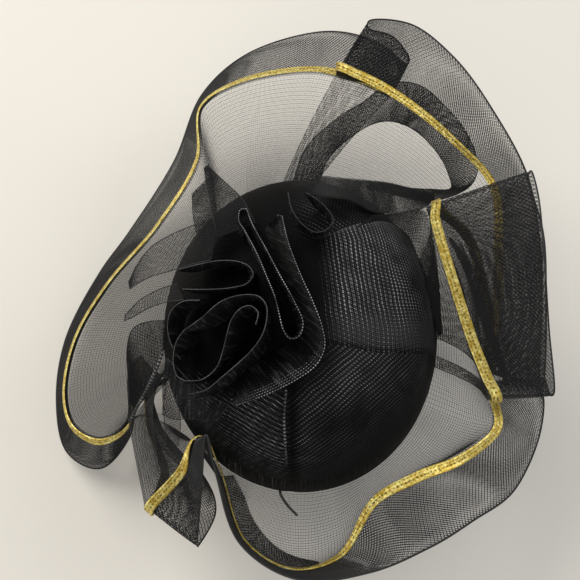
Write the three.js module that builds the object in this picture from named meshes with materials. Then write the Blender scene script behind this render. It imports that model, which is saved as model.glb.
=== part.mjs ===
// Church hat of stiffened open mesh: a hollow domed crown under a gathered drape, a wide wavy brim
// whose hem is edged with gold braid, and a flower of folded mesh bands on the crown's left front.
// Millimetres, +Z up along the crown's axis. The origin is the centre of the head opening, in the
// plane of the crown's rim. The wearer's face looks along -Y.
import * as THREE from 'three';

// Driving dimensions
const CROWN_HALF_WIDTH = 77;
const CROWN_HALF_LENGTH = 90;
const CROWN_HEIGHT = 76;
const CROWN_ROUNDNESS = 2.2;
const CROWN_WALL = 2;
const DRAPE_WALL = 1.2;
const PLEAT_DEPTH = 1.8;
const BRIM_WALL = 1;
const BRAID_WIDTH = 5.5;
const BRAID_WALL = 0.8;
const BRAID_GAP = 0.8;
const STEEPEST_FOLD = 2.2;
const PETAL_WALL = 1;
const GAP = 0.3;

const BLACK_MESH = 0x0b0b0d;
const SHEER_MESH = 0x2a2a2c;
const GOLD = 0xd2a82e;

const rad = THREE.MathUtils.degToRad;

// A point given by its bearing round the crown, its distance from the crown's axis and its height.
function polar(bearing, distance, height) {
  return new THREE.Vector3(distance * Math.cos(rad(bearing)), distance * Math.sin(rad(bearing)), height);
}

// Distance from the axis to the crown's rim along a bearing.
function rimDistance(bearing) {
  const across = Math.cos(rad(bearing)) / CROWN_HALF_WIDTH;
  const along = Math.sin(rad(bearing)) / CROWN_HALF_LENGTH;
  return 1 / Math.hypot(across, along);
}

// The brim is one strip of mesh. Each row is a section across it, in order round the hat from the
// front towards the wearer's left. rim is the bearing where the section leaves the crown, out how far
// from the crown's edge it starts and level its height there. gold is the sewn line under the braid
// and edge the folded outer edge, each as [bearing, distance, height]. belly is how far the middle of
// the sheer web swells away from the crown. Rows that turn back on the one before make a pleat, and turn
// is how far its crease rises or drops at the seat, the sewn line and the edge as it folds over.
const BRIM_ROWS = [
  { at: 'front', rim: -92, level: -1, gold: [-92, 138, 30], edge: [-91, 146, 74], belly: 12 },
  { at: 'front_left', rim: -79, level: -1, gold: [-82, 133, 40], edge: [-78, 146, 75], belly: 10 },
  { at: 'dip', rim: -68, level: -1, gold: [-72, 112, 50], edge: [-67, 144, 74], belly: 8 },
  { at: 'dip_side', rim: -56, level: -1, gold: [-60, 109, 54], edge: [-55, 143, 52], belly: 8 },
  { at: 'cup', rim: -42, level: -1, gold: [-47, 115, 52], edge: [-42, 147, 32], belly: 8 },
  { at: 'cup_side', rim: -31, level: -1, gold: [-36, 119, 50], edge: [-29, 145, 26], belly: 6 },
  { at: 'low_under', rim: -14, level: -7, gold: [-30, 113, 44], edge: [-22, 140, 34], belly: 4 },
  {
    at: 'low_turn', rim: -8, level: -7, gold: [-26, 106, 45], edge: [-19, 134, 42], belly: 4,
    turn: [3, 4, 7],
  },
  {
    at: 'low_crease', rim: -13, level: -4.6, gold: [-31, 110, 54], edge: [-24, 138, 58], belly: 8,
    turn: [3, 4, 6],
  },
  { at: 'side_low', rim: -5, level: -1, gold: [-20, 90, 66], edge: [-12, 128, 72], belly: 12 },
  { at: 'side', rim: 8, level: -1, gold: [5, 76, 70], edge: [6, 125, 84], belly: 14 },
  { at: 'side_high', rim: 22, level: -1, gold: [27, 79, 70], edge: [20, 133, 86], belly: 12 },
  {
    at: 'top_crease', rim: 32, level: -1.6, gold: [35, 85, 68], edge: [26, 137, 86], belly: 8,
    turn: [-3, -4, -6],
  },
  { at: 'top_under', rim: 24, level: -4, gold: [20, 93, 60], edge: [13, 133, 72], belly: 9 },
  { at: 'side_under', rim: 13, level: -6, gold: [-2, 94, 55], edge: [-1, 130, 61], belly: 8 },
  {
    at: 'hidden_turn', rim: 4, level: -6, gold: [-15, 101, 50], edge: [-14, 133, 53], belly: 5,
    turn: [-3, -7, -7],
  },
  { at: 'side_rise', rim: 13, level: -9, gold: [0, 106, 40], edge: [2, 133, 46], belly: 6 },
  { at: 'hidden_rise', rim: 24, level: -8, gold: [17, 116, 40], edge: [13, 138, 50], belly: 6 },
  { at: 'lobe_low', rim: 44, level: -5, gold: [34, 135, 46], edge: [28, 144, 68], belly: 4 },
  { at: 'lobe', rim: 62, level: -1, gold: [49, 137, 52], edge: [43, 145, 88], belly: 4 },
  { at: 'lobe_top', rim: 78, level: -1, gold: [63, 140, 58], edge: [57, 160, 90], belly: 4 },
  { at: 'pleat_side', rim: 90, level: -1, gold: [73, 142, 64], edge: [68, 171, 90], belly: 4 },
  {
    at: 'pleat_crease', rim: 100, level: -1.6, gold: [81, 144, 67], edge: [76, 167, 89], belly: 3,
    turn: [-3, -4, -6],
  },
  { at: 'pleat_middle', rim: 95, level: -4, gold: [74, 146, 59], edge: [71, 172, 75], belly: 3 },
  {
    at: 'pleat_back', rim: 90, level: -4, gold: [68, 148, 55], edge: [67, 170, 64], belly: 3,
    turn: [-3, -4, -6],
  },
  { at: 'pleat_under', rim: 96, level: -7, gold: [78, 158, 44], edge: [75, 190, 48], belly: 2 },
  { at: 'back', rim: 104, level: -4, gold: [88, 166, 38], edge: [86, 212, 26], belly: -2 },
  { at: 'back_right', rim: 112, level: -1, gold: [104, 164, 34], edge: [100, 209, 10], belly: -4 },
  { at: 'corner', rim: 121, level: -1, gold: [113, 160, 26], edge: [110, 202, -14], belly: -4 },
  { at: 'slope_top', rim: 131, level: -1, gold: [119, 132, 14], edge: [121, 172, -34], belly: -3 },
  { at: 'slope', rim: 143, level: -1, gold: [139, 119, -6], edge: [140, 157, -54], belly: -3 },
  { at: 'slope_low', rim: 159, level: -1, gold: [162, 126, -12], edge: [153, 156, -58], belly: -3 },
  { at: 'right', rim: 175, level: -1, gold: [180, 136, -10], edge: [173, 158, -56], belly: -3 },
  { at: 'right_low', rim: 186, level: -1, gold: [194, 143, -12], edge: [188, 160, -58], belly: -2 },
  { at: 'lobe_side', rim: 191, level: -1, gold: [-159, 142, -16], edge: [-159, 158, -56], belly: 0 },
  { at: 'lobe_end', rim: 194, level: -1, gold: [-154, 131, -18], edge: [-150, 140, -44], belly: 0 },
  { at: 'lobe_turn', rim: 196, level: -1, gold: [-155, 114, -18], edge: [-156, 118, -54], belly: 0 },
  { at: 'valley', rim: 197, level: -2, gold: [-170, 106, -18], edge: [-168, 108, -60], belly: 0 },
  { at: 'tuck', rim: 198, out: 4, level: -3, gold: [-176, 98, -16], edge: [-168, 102, -58], belly: 0 },
  { at: 'tuck_low', rim: 199, out: 6, level: -5, gold: [-160, 98, -16], edge: [-146, 98, -50], belly: 0 },
  { at: 'flap_under', rim: 200, out: 8, level: -6, gold: [-148, 103, -2], edge: [-126, 97, -26], belly: 0 },
  { at: 'flap_low', rim: 204, out: 16, level: -2, gold: [-134, 112, 8], edge: [-114, 115, 0], belly: 0 },
  {
    at: 'flap_turn', rim: 209, out: 28, level: 3, gold: [-128, 132, 21], edge: [-114, 134, 6], belly: 0,
    turn: [3, 4, 6],
  },
  { at: 'flap_over', rim: 212, out: 16, level: 7, gold: [-126, 108, 34], edge: [-117, 113, 34], belly: 0 },
  { at: 'flap_top', rim: 222, out: 4, level: -1, gold: [-126, 92, 40], edge: [-120, 92, 70], belly: 2 },
  { at: 'fold_back', rim: 240, level: -1, gold: [-118, 96, 22], edge: [-113, 106, 62], belly: 4 },
  { at: 'front_right', rim: 254, level: -1, gold: [-104, 126, 20], edge: [-103, 132, 64], belly: 10 },
];
const COLUMNS_PER_ROW = 4;
const WEB_STEPS = 2;
const HEM_STEPS = 2;
const SEAT_INSET = 1.2;
const SEAT_WIDTH = 5;
const SEWN = WEB_STEPS + 1;

// Closed ring of points through the given ones, evenly stepped between each pair.
function ringThrough(points, stepsPerPoint) {
  const curve = new THREE.CatmullRomCurve3(points, true, 'centripetal');
  const count = points.length * stepsPerPoint;
  return Array.from({ length: count }, (_, i) => curve.getPoint(i / count));
}

// Rows of points across the brim's middle surface, one column for each step round the hat. Each
// column runs from a narrow seat under the crown's rim, up the web to the sewn line, then over the hem.
function brimSurface() {
  const sections = BRIM_ROWS.flatMap((row) => (row.turn ? [[row, 0], [row, 1]] : [[row, 0]]));
  const turned = ([row, folded], place) => (folded ? row.turn[place] : 0);
  const inner = sections.map((section) => {
    const [row] = section;
    const distance = rimDistance(row.rim) - SEAT_INSET + (row.out ?? 0);
    return polar(row.rim, distance, row.level + turned(section, 0));
  });
  const rail = (name, place) => sections.map((section) => {
    const [bearing, distance, height] = section[0][name];
    return polar(bearing, distance, height + turned(section, place));
  });
  const belly = sections.map(([row]) => new THREE.Vector3(row.belly, 0, 0));
  const rails = [inner, rail('gold', 1), rail('edge', 2), belly]
    .map((points) => ringThrough(points, COLUMNS_PER_ROW));
  return rails[0].map((start, i) => {
    const sewn = rails[1][i];
    const fold = rails[2][i];
    const outward = new THREE.Vector3(start.x, start.y, 0).normalize();
    const lip = start.clone().addScaledVector(outward, SEAT_WIDTH);
    const rise = new THREE.Vector3().subVectors(sewn, lip).normalize();
    const swell = outward.clone().addScaledVector(rise, -outward.dot(rise)).normalize();
    const column = [start];
    for (let j = 0; j <= WEB_STEPS; j += 1) {
      const across = j / WEB_STEPS;
      const swelling = rails[3][i].x * Math.sin(Math.PI * across);
      column.push(lip.clone().lerp(sewn, across).addScaledVector(swell, swelling));
    }
    for (let j = 1; j <= HEM_STEPS; j += 1) {
      column.push(sewn.clone().lerp(fold, j / HEM_STEPS));
    }
    return column;
  });
}

// Unit normals of a grid of points, closed on itself along its columns when ring is true.
function gridNormals(grid, ring) {
  const columns = grid.length;
  const rows = grid[0].length;
  const column = (i) => grid[ring ? (i + columns) % columns : Math.min(Math.max(i, 0), columns - 1)];
  return grid.map((points, i) => points.map((_, j) => {
    const along = column(i + 1)[j].clone().sub(column(i - 1)[j]);
    const across = points[Math.min(j + 1, rows - 1)].clone().sub(points[Math.max(j - 1, 0)]);
    return across.cross(along).normalize();
  }));
}

// Closed solid between two grids of the same size, joined along their free edges.
function solidBetween(top, bottom, ring) {
  const columns = top.length;
  const rows = top[0].length;
  const positions = [];
  for (const grid of [top, bottom]) {
    for (const points of grid) {
      for (const point of points) positions.push(point.x, point.y, point.z);
    }
  }
  const upper = (i, j) => (i % columns) * rows + j;
  const lower = (i, j) => columns * rows + upper(i, j);
  const index = [];
  const quad = (a, b, c, d) => index.push(a, b, c, a, c, d);
  const lastColumn = ring ? columns : columns - 1;
  for (let i = 0; i < lastColumn; i += 1) {
    for (let j = 0; j < rows - 1; j += 1) {
      quad(upper(i, j), upper(i, j + 1), upper(i + 1, j + 1), upper(i + 1, j));
      quad(lower(i, j), lower(i + 1, j), lower(i + 1, j + 1), lower(i, j + 1));
    }
    quad(upper(i, 0), upper(i + 1, 0), lower(i + 1, 0), lower(i, 0));
    quad(upper(i, rows - 1), lower(i, rows - 1), lower(i + 1, rows - 1), upper(i + 1, rows - 1));
  }
  if (!ring) {
    const end = columns - 1;
    for (let j = 0; j < rows - 1; j += 1) {
      quad(upper(0, j), lower(0, j), lower(0, j + 1), upper(0, j + 1));
      quad(upper(end, j), upper(end, j + 1), lower(end, j + 1), lower(end, j));
    }
  }
  const geometry = new THREE.BufferGeometry();
  geometry.setAttribute('position', new THREE.Float32BufferAttribute(positions, 3));
  geometry.setIndex(index);
  return geometry;
}

// Grid moved along its normals.
function offsetGrid(grid, normals, distance) {
  return grid.map((points, i) => points.map((point, j) => {
    const normal = normals[i][j];
    return point.clone().addScaledVector(normal, distance);
  }));
}

// Closed sheet of even thickness about a grid of points.
function sheetSolid(grid, wall, ring) {
  const normals = gridNormals(grid, ring);
  return solidBetween(offsetGrid(grid, normals, wall / 2), offsetGrid(grid, normals, -wall / 2), ring);
}

function makeBrim() {
  return sheetSolid(brimSurface(), BRIM_WALL, true);
}

// The braid lies on the hem's upper face, along the sewn line. Where the hem folds up from the web it
// starts a little further out, so that it clears the web.
function makeBraid() {
  const surface = brimSurface();
  const count = surface.length;
  const lift = BRIM_WALL / 2 + BRAID_GAP;
  const nearby = (i, step) => surface[(i + step + count) % count];
  const frames = surface.map((points, i) => {
    const sewn = points[SEWN];
    const along = nearby(i, 1)[SEWN].clone().sub(nearby(i, -1)[SEWN]);
    const webward = sewn.clone().sub(points[SEWN - 1]).normalize();
    const outward = points[SEWN + 1].clone().sub(sewn).normalize();
    const webNormal = webward.clone().cross(along).normalize();
    const normal = outward.clone().cross(along).normalize();
    const fold = outward.dot(webNormal) > 0 ? webward.angleTo(outward) : 0;
    const start = (lift + BRAID_WALL) * Math.tan(Math.min(fold, STEEPEST_FOLD) / 2);
    return { sewn, outward, normal, start };
  });
  const startNear = (i) => Math.max(...[-1, 0, 1].map((step) => frames[(i + step + count) % count].start));
  const strip = (height) => frames.map(({ sewn, outward, normal }, i) => {
    const foot = sewn.clone().addScaledVector(normal, height);
    const start = startNear(i);
    return [start, start + BRAID_WIDTH].map((reach) => foot.clone().addScaledVector(outward, reach));
  });
  return solidBetween(strip(lift + BRAID_WALL), strip(lift), true);
}

// Height of the crown's outer face over a point of its plan, where share is 1 at the rim.
function crownHeight(share, height) {
  return height * (1 - Math.min(share, 1) ** CROWN_ROUNDNESS) ** (1 / CROWN_ROUNDNESS);
}

// Grid over the dome: columns run from a middle point of the plan out to the rim.
function domeGrid(middle, columns, rows, halfWidth, halfLength, height, floor) {
  return Array.from({ length: columns }, (_, i) => {
    const turn = (2 * Math.PI * i) / columns;
    const end = new THREE.Vector2(Math.cos(turn), Math.sin(turn));
    return Array.from({ length: rows + 1 }, (__, j) => {
      const reach = j === rows ? 1 : Math.sin((Math.PI / 2) * (j + 0.35) / (rows + 0.35));
      const share = middle.clone().lerp(end, reach);
      const z = j === rows ? floor : Math.max(crownHeight(share.length(), height), floor + 1.5);
      return new THREE.Vector3(share.x * halfWidth, share.y * halfLength, z);
    });
  });
}

// Closed cap between an outer and an inner dome grid, each capped by its own pole.
function capSolid(outer, inner, outerPole, innerPole) {
  const columns = outer.length;
  const rows = outer[0].length;
  const positions = [];
  for (const grid of [outer, inner]) {
    for (const points of grid) {
      for (const point of points) positions.push(point.x, point.y, point.z);
    }
  }
  const pole = positions.length / 3;
  positions.push(outerPole.x, outerPole.y, outerPole.z, innerPole.x, innerPole.y, innerPole.z);
  const out = (i, j) => (i % columns) * rows + j;
  const within = (i, j) => columns * rows + out(i, j);
  const index = [];
  for (let i = 0; i < columns; i += 1) {
    index.push(pole, out(i, 0), out(i + 1, 0));
    index.push(pole + 1, within(i + 1, 0), within(i, 0));
    for (let j = 0; j < rows - 1; j += 1) {
      index.push(out(i, j), out(i, j + 1), out(i + 1, j + 1), out(i, j), out(i + 1, j + 1), out(i + 1, j));
      index.push(within(i, j), within(i + 1, j + 1), within(i, j + 1));
      index.push(within(i, j), within(i + 1, j), within(i + 1, j + 1));
    }
    const last = rows - 1;
    index.push(out(i, last), within(i, last), within(i + 1, last));
    index.push(out(i, last), within(i + 1, last), out(i + 1, last));
  }
  const geometry = new THREE.BufferGeometry();
  geometry.setAttribute('position', new THREE.Float32BufferAttribute(positions, 3));
  geometry.setIndex(index);
  return geometry;
}

const CROWN_COLUMNS = 30;
const CROWN_GRID_ROWS = 6;

function makeCrownCap() {
  const middle = new THREE.Vector2(0, 0);
  const shell = (inset) => domeGrid(middle, CROWN_COLUMNS, CROWN_GRID_ROWS,
    CROWN_HALF_WIDTH - inset, CROWN_HALF_LENGTH - inset, CROWN_HEIGHT - inset, 0);
  return capSolid(shell(0), shell(CROWN_WALL),
    new THREE.Vector3(0, 0, CROWN_HEIGHT), new THREE.Vector3(0, 0, CROWN_HEIGHT - CROWN_WALL));
}

// The drape's pleats run out to the rim from the place where the flower pins them down.
const GATHER = new THREE.Vector2(-0.3, -0.3);
const PLEATS = 14;
const COLUMNS_PER_PLEAT = 4;
const DRAPE_ROWS = 6;
const DRAPE_CLEAR = 1.6;

function makeDrape() {
  const columns = PLEATS * COLUMNS_PER_PLEAT;
  const shell = (outset) => domeGrid(GATHER, columns, DRAPE_ROWS,
    CROWN_HALF_WIDTH + outset, CROWN_HALF_LENGTH + outset, CROWN_HEIGHT + outset, GAP);
  const inner = shell(DRAPE_CLEAR);
  const outer = shell(DRAPE_CLEAR + DRAPE_WALL);
  const normals = gridNormals(outer, true);
  const pleated = outer.map((points, i) => points.map((point, j) => {
    const ramp = (i % COLUMNS_PER_PLEAT) / (COLUMNS_PER_PLEAT - 1);
    const relief = PLEAT_DEPTH * ramp * Math.sin(Math.PI * (0.15 + 0.85 * j / DRAPE_ROWS));
    return point.clone().addScaledVector(normals[i][j], relief);
  }));
  const pole = (outset) => new THREE.Vector3(
    GATHER.x * (CROWN_HALF_WIDTH + outset), GATHER.y * (CROWN_HALF_LENGTH + outset),
    crownHeight(GATHER.length(), CROWN_HEIGHT + outset));
  return capSolid(pleated, inner, pole(DRAPE_CLEAR + DRAPE_WALL), pole(DRAPE_CLEAR));
}

// The flower's petals are bands of mesh that stand on the drape. Each row is a place along a band:
// rim is its free upper edge as [x, y, height] and lean how far its foot lies from the point under that
// edge, as [x, y]. The foot's height follows the drape.
const PETALS = {
  petal_outer: [
    { rim: [-10, 24, 100], lean: [-2, 8] },
    { rim: [-7, 8, 103], lean: [-3, 9] },
    { rim: [-1, -11, 105], lean: [-3, 10] },
    { rim: [5, -26, 105], lean: [-3, 11] },
    { rim: [9, -38, 104], lean: [-5, 13] },
    { rim: [10, -47, 102], lean: [-6, 14] },
    { rim: [6, -55, 100], lean: [-5, 17] },
    { rim: [-3, -61, 97], lean: [-2, 18] },
    { rim: [-17, -66, 90], lean: [0, 16] },
    { rim: [-32, -69, 82], lean: [0, 13] },
  ],
  petal_long: [
    { rim: [-28, 30, 97], lean: [-1, 9] },
    { rim: [-25, 20, 100], lean: [-1, 9] },
    { rim: [-17, 2, 104], lean: [-1, 10] },
    { rim: [-11, -12, 107], lean: [-1, 11] },
    { rim: [-4, -27, 109], lean: [-2, 12] },
    { rim: [0, -38, 109], lean: [-2, 12] },
    { rim: [-2, -44, 108], lean: [-1, 11] },
    { rim: [-6, -45, 108], lean: [0, 11] },
    { rim: [-9, -41, 108], lean: [1, 12] },
    { rim: [-11, -33, 108], lean: [0, 12] },
    { rim: [-13, -24, 107], lean: [0, 11] },
    { rim: [-17, -12, 104], lean: [0, 10] },
    { rim: [-22, 2, 101], lean: [-1, 9] },
    { rim: [-29, 18, 97], lean: [-2, 8] },
  ],
  rose_loop: [
    { rim: [-59, -29, 78], lean: [6, 3] },
    { rim: [-50, -26, 86], lean: [6, 3] },
    { rim: [-39, -21, 96], lean: [6, 3] },
    { rim: [-29, -20, 101], lean: [4, 5] },
    { rim: [-21, -22, 104], lean: [2, 8] },
    { rim: [-17, -28, 106], lean: [-1, 10] },
    { rim: [-17, -36, 106], lean: [-1, 11] },
    { rim: [-19, -42, 104], lean: [-1, 11] },
    { rim: [-24, -48, 100], lean: [0, 11] },
    { rim: [-31, -53, 95], lean: [0, 11] },
    { rim: [-38, -57, 89], lean: [0, 10] },
    { rim: [-46, -61, 82], lean: [0, 9] },
    { rim: [-55, -61, 75], lean: [0, 8] },
  ],
  rose_inner: [
    { rim: [-22, -36, 103], lean: [0, 10] },
    { rim: [-21, -30, 103], lean: [0, 9] },
    { rim: [-25, -26, 102], lean: [2, 7] },
    { rim: [-30, -27, 100], lean: [5, 6] },
    { rim: [-34, -32, 98], lean: [7, 7] },
    { rim: [-36, -38, 95], lean: [8, 8] },
    { rim: [-38, -45, 91], lean: [6, 9] },
    { rim: [-41, -51, 86], lean: [2, 9] },
    { rim: [-48, -55, 80], lean: [0, 8] },
    { rim: [-57, -54, 74], lean: [0, 8] },
  ],
  petal_side: [
    { rim: [-63, 3, 82], lean: [1, 8] },
    { rim: [-52, 4, 86], lean: [1, 8] },
    { rim: [-41, 4, 90], lean: [0, 8] },
    { rim: [-32, 2, 93], lean: [-1, 8] },
    { rim: [-26, -2, 95], lean: [-2, 8] },
    { rim: [-24, -7, 96], lean: [-3, 8] },
    { rim: [-27, -11, 95], lean: [-2, 8] },
    { rim: [-35, -12, 92], lean: [0, 8] },
    { rim: [-48, -11, 88], lean: [0, 8] },
    { rim: [-60, -8, 82], lean: [1, 8] },
  ],
  petal_left: [
    { rim: [-51, -15, 84], lean: [2, 6] },
    { rim: [-60, -14, 80], lean: [3, 5] },
    { rim: [-66, -17, 76], lean: [4, 3] },
    { rim: [-68, -24, 73], lean: [4, 3] },
    { rim: [-66, -33, 71], lean: [4, 4] },
    { rim: [-61, -41, 69], lean: [3, 5] },
  ],
  petal_back: [
    { rim: [-7, 44, 90], lean: [0, 6] },
    { rim: [-5, 32, 93], lean: [0, 6] },
    { rim: [0, 23, 94], lean: [0, 6] },
    { rim: [7, 18, 94], lean: [0, 6] },
    { rim: [13, 20, 94], lean: [0, 6] },
    { rim: [16, 26, 93], lean: [0, 6] },
    { rim: [13, 33, 92], lean: [0, 6] },
    { rim: [8, 39, 91], lean: [0, 6] },
    { rim: [2, 44, 90], lean: [0, 6] },
  ],
};

// The leaves are single bands drawn out beside the petals over the wearer's right side. Each row holds
// the band's two edges as [x, y, height].
const LEAVES = {
  leaf_upper: [
    { back: [-44, 36, 80], front: [-46, 7, 85] },
    { back: [-57, 32, 77], front: [-57, 7, 80] },
    { back: [-71, 28, 72], front: [-69, 6, 74] },
    { back: [-81, 23, 68], front: [-80, 5, 69] },
    { back: [-88, 14, 65], front: [-87, 3, 65] },
    { back: [-92, 5, 63], front: [-91, 1, 63] },
  ],
  leaf_lower: [
    { back: [-64, -3, 78], front: [-60, -12, 78] },
    { back: [-74, -3, 71], front: [-71, -10, 70] },
    { back: [-85, -6, 64], front: [-80, -11, 65] },
    { back: [-90, -10, 61], front: [-88, -14, 61] },
    { back: [-93, -13, 60], front: [-93, -16, 60] },
  ],
  leaf_low: [
    { back: [-68.9, -22, 75], front: [-69, -29, 64] },
    { back: [-80, -22, 72], front: [-73, -36, 59] },
    { back: [-87, -24, 67], front: [-76, -42, 55] },
    { back: [-90, -32, 61], front: [-81, -49, 49] },
    { back: [-90, -43, 54], front: [-85, -55, 44] },
    { back: [-90, -54, 46], front: [-88, -58, 40] },
  ],
};

// The under loop is one band of doubled mesh below the brim: a strut that leaves the crown's back under the
// pleats, a crescent under the raised lobe and a tail that runs in again towards the crown. Each row
// holds its outer and its inner edge as [x, y, height].
const UNDER_LOOP = [
  { back: [-7, 101, -4.2], front: [12, 103, 0.3] },
  { back: [5, 127, 12], front: [19, 120, 9] },
  { back: [26, 141, 26], front: [31, 127, 20] },
  { back: [40, 145, 35], front: [45, 130, 32] },
  { back: [56, 151, 46], front: [56, 126, 41] },
  { back: [73, 139, 59], front: [66, 120, 44] },
  { back: [87, 121, 61], front: [75, 115, 41] },
  { back: [99, 104, 57], front: [85, 104, 37] },
  { back: [106, 90, 45], front: [91, 95, 31] },
  { back: [103, 84, 32], front: [93, 87, 26] },
  { back: [84, 84, 16], front: [81, 90, 20] },
  { back: [68, 89, 11], front: [69, 94, 15] },
  { back: [56, 94, 9], front: [57, 99, 12] },
];
const COLUMNS_PER_PETAL_ROW = 3;
const PETAL_STEPS = 1;
const PETAL_CLEAR = 0.2;

// Height of the drape's outermost face over a point of the plan.
function drapeTop(x, y) {
  const outset = DRAPE_CLEAR + DRAPE_WALL + PLEAT_DEPTH;
  const share = Math.hypot(x / (CROWN_HALF_WIDTH + outset), y / (CROWN_HALF_LENGTH + outset));
  return crownHeight(share, CROWN_HEIGHT + outset);
}

// Band between two rails, each a smooth curve through its points.
function bandSolid(upper, lower) {
  const count = (upper.length - 1) * COLUMNS_PER_PETAL_ROW;
  const rails = [upper, lower].map((points) => new THREE.CatmullRomCurve3(points, false, 'centripetal'));
  const grid = Array.from({ length: count + 1 }, (_, i) => {
    const [start, end] = rails.map((rail) => rail.getPoint(i / count));
    return Array.from({ length: PETAL_STEPS + 1 }, (__, j) => start.clone().lerp(end, j / PETAL_STEPS));
  });
  return sheetSolid(grid, PETAL_WALL, false);
}

function makePetal(rows) {
  const rim = rows.map((row) => new THREE.Vector3(...row.rim));
  const foot = rows.map(({ rim: [x, y], lean }) => {
    const footing = [x + lean[0], y + lean[1]];
    return new THREE.Vector3(...footing, drapeTop(...footing) + PETAL_CLEAR);
  });
  return bandSolid(rim, foot);
}

// Band whose rows hold both of its edges.
function makeBand(rows) {
  return bandSolid(rows.map((row) => new THREE.Vector3(...row.back)),
    rows.map((row) => new THREE.Vector3(...row.front)));
}

const hat = new THREE.Group();

function add(name, geometry, color, roughness, metalness) {
  const material = new THREE.MeshStandardMaterial({ color, roughness, metalness });
  const mesh = new THREE.Mesh(geometry, material);
  mesh.name = name;
  hat.add(mesh);
}

add('crown_cap', makeCrownCap(), BLACK_MESH, 0.7, 0);
add('crown_drape', makeDrape(), BLACK_MESH, 0.5, 0);
add('brim', makeBrim(), SHEER_MESH, 0.5, 0);
add('gold_braid', makeBraid(), GOLD, 0.35, 0.8);
for (const [name, rows] of Object.entries(PETALS)) add(name, makePetal(rows), BLACK_MESH, 0.5, 0);
for (const [name, rows] of Object.entries(LEAVES)) add(name, makeBand(rows), SHEER_MESH, 0.5, 0);
add('under_loop', makeBand(UNDER_LOOP), BLACK_MESH, 0.5, 0);

export default hat;
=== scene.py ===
"""Dress hat of stiff black open mesh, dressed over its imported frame.

The brim and the flower are built thread by thread, so that light passes between the threads. The
crown carries gathered cloth, and a flat gold braid follows the sewn line of the brim's hem. Sizes in
the tables are in millimetres, in the hat's own frame: +Z up the crown, the wearer's face along -Y.
"""

import math

import bpy
import numpy as np
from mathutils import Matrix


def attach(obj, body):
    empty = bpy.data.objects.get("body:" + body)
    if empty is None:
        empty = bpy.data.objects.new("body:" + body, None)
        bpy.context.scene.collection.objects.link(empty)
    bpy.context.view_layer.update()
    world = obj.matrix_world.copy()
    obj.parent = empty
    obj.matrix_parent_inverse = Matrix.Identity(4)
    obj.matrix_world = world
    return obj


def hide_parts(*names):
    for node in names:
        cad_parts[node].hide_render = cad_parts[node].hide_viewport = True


bl_info = {
    "name": "Dress Hat",
    "version": (1, 0, 0),
    "blender": (4, 5, 0),
    "location": "View3D > Sidebar > Dress Hat",
    "description": "Builds a dress hat of open mesh with a gold braid and a folded mesh flower",
    "category": "Object",
}

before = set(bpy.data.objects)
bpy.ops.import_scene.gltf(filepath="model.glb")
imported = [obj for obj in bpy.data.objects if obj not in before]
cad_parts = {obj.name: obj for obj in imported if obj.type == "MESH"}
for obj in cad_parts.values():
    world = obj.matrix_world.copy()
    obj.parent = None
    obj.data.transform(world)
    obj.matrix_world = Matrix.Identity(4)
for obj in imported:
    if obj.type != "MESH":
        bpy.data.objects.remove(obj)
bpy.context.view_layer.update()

MM = 0.001
BODY = "root"

# Crown. Its cloth lies outside the dome by the outset, and the raised band's top by the drape's top.
CROWN_HALF_WIDTH = 77
CROWN_HALF_LENGTH = 90
CROWN_HEIGHT = 76
CROWN_ROUNDNESS = 2.2
CROWN_WALL = 2
DRAPE_OUTSET = 2.2
DRAPE_TOP = 4.6

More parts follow.
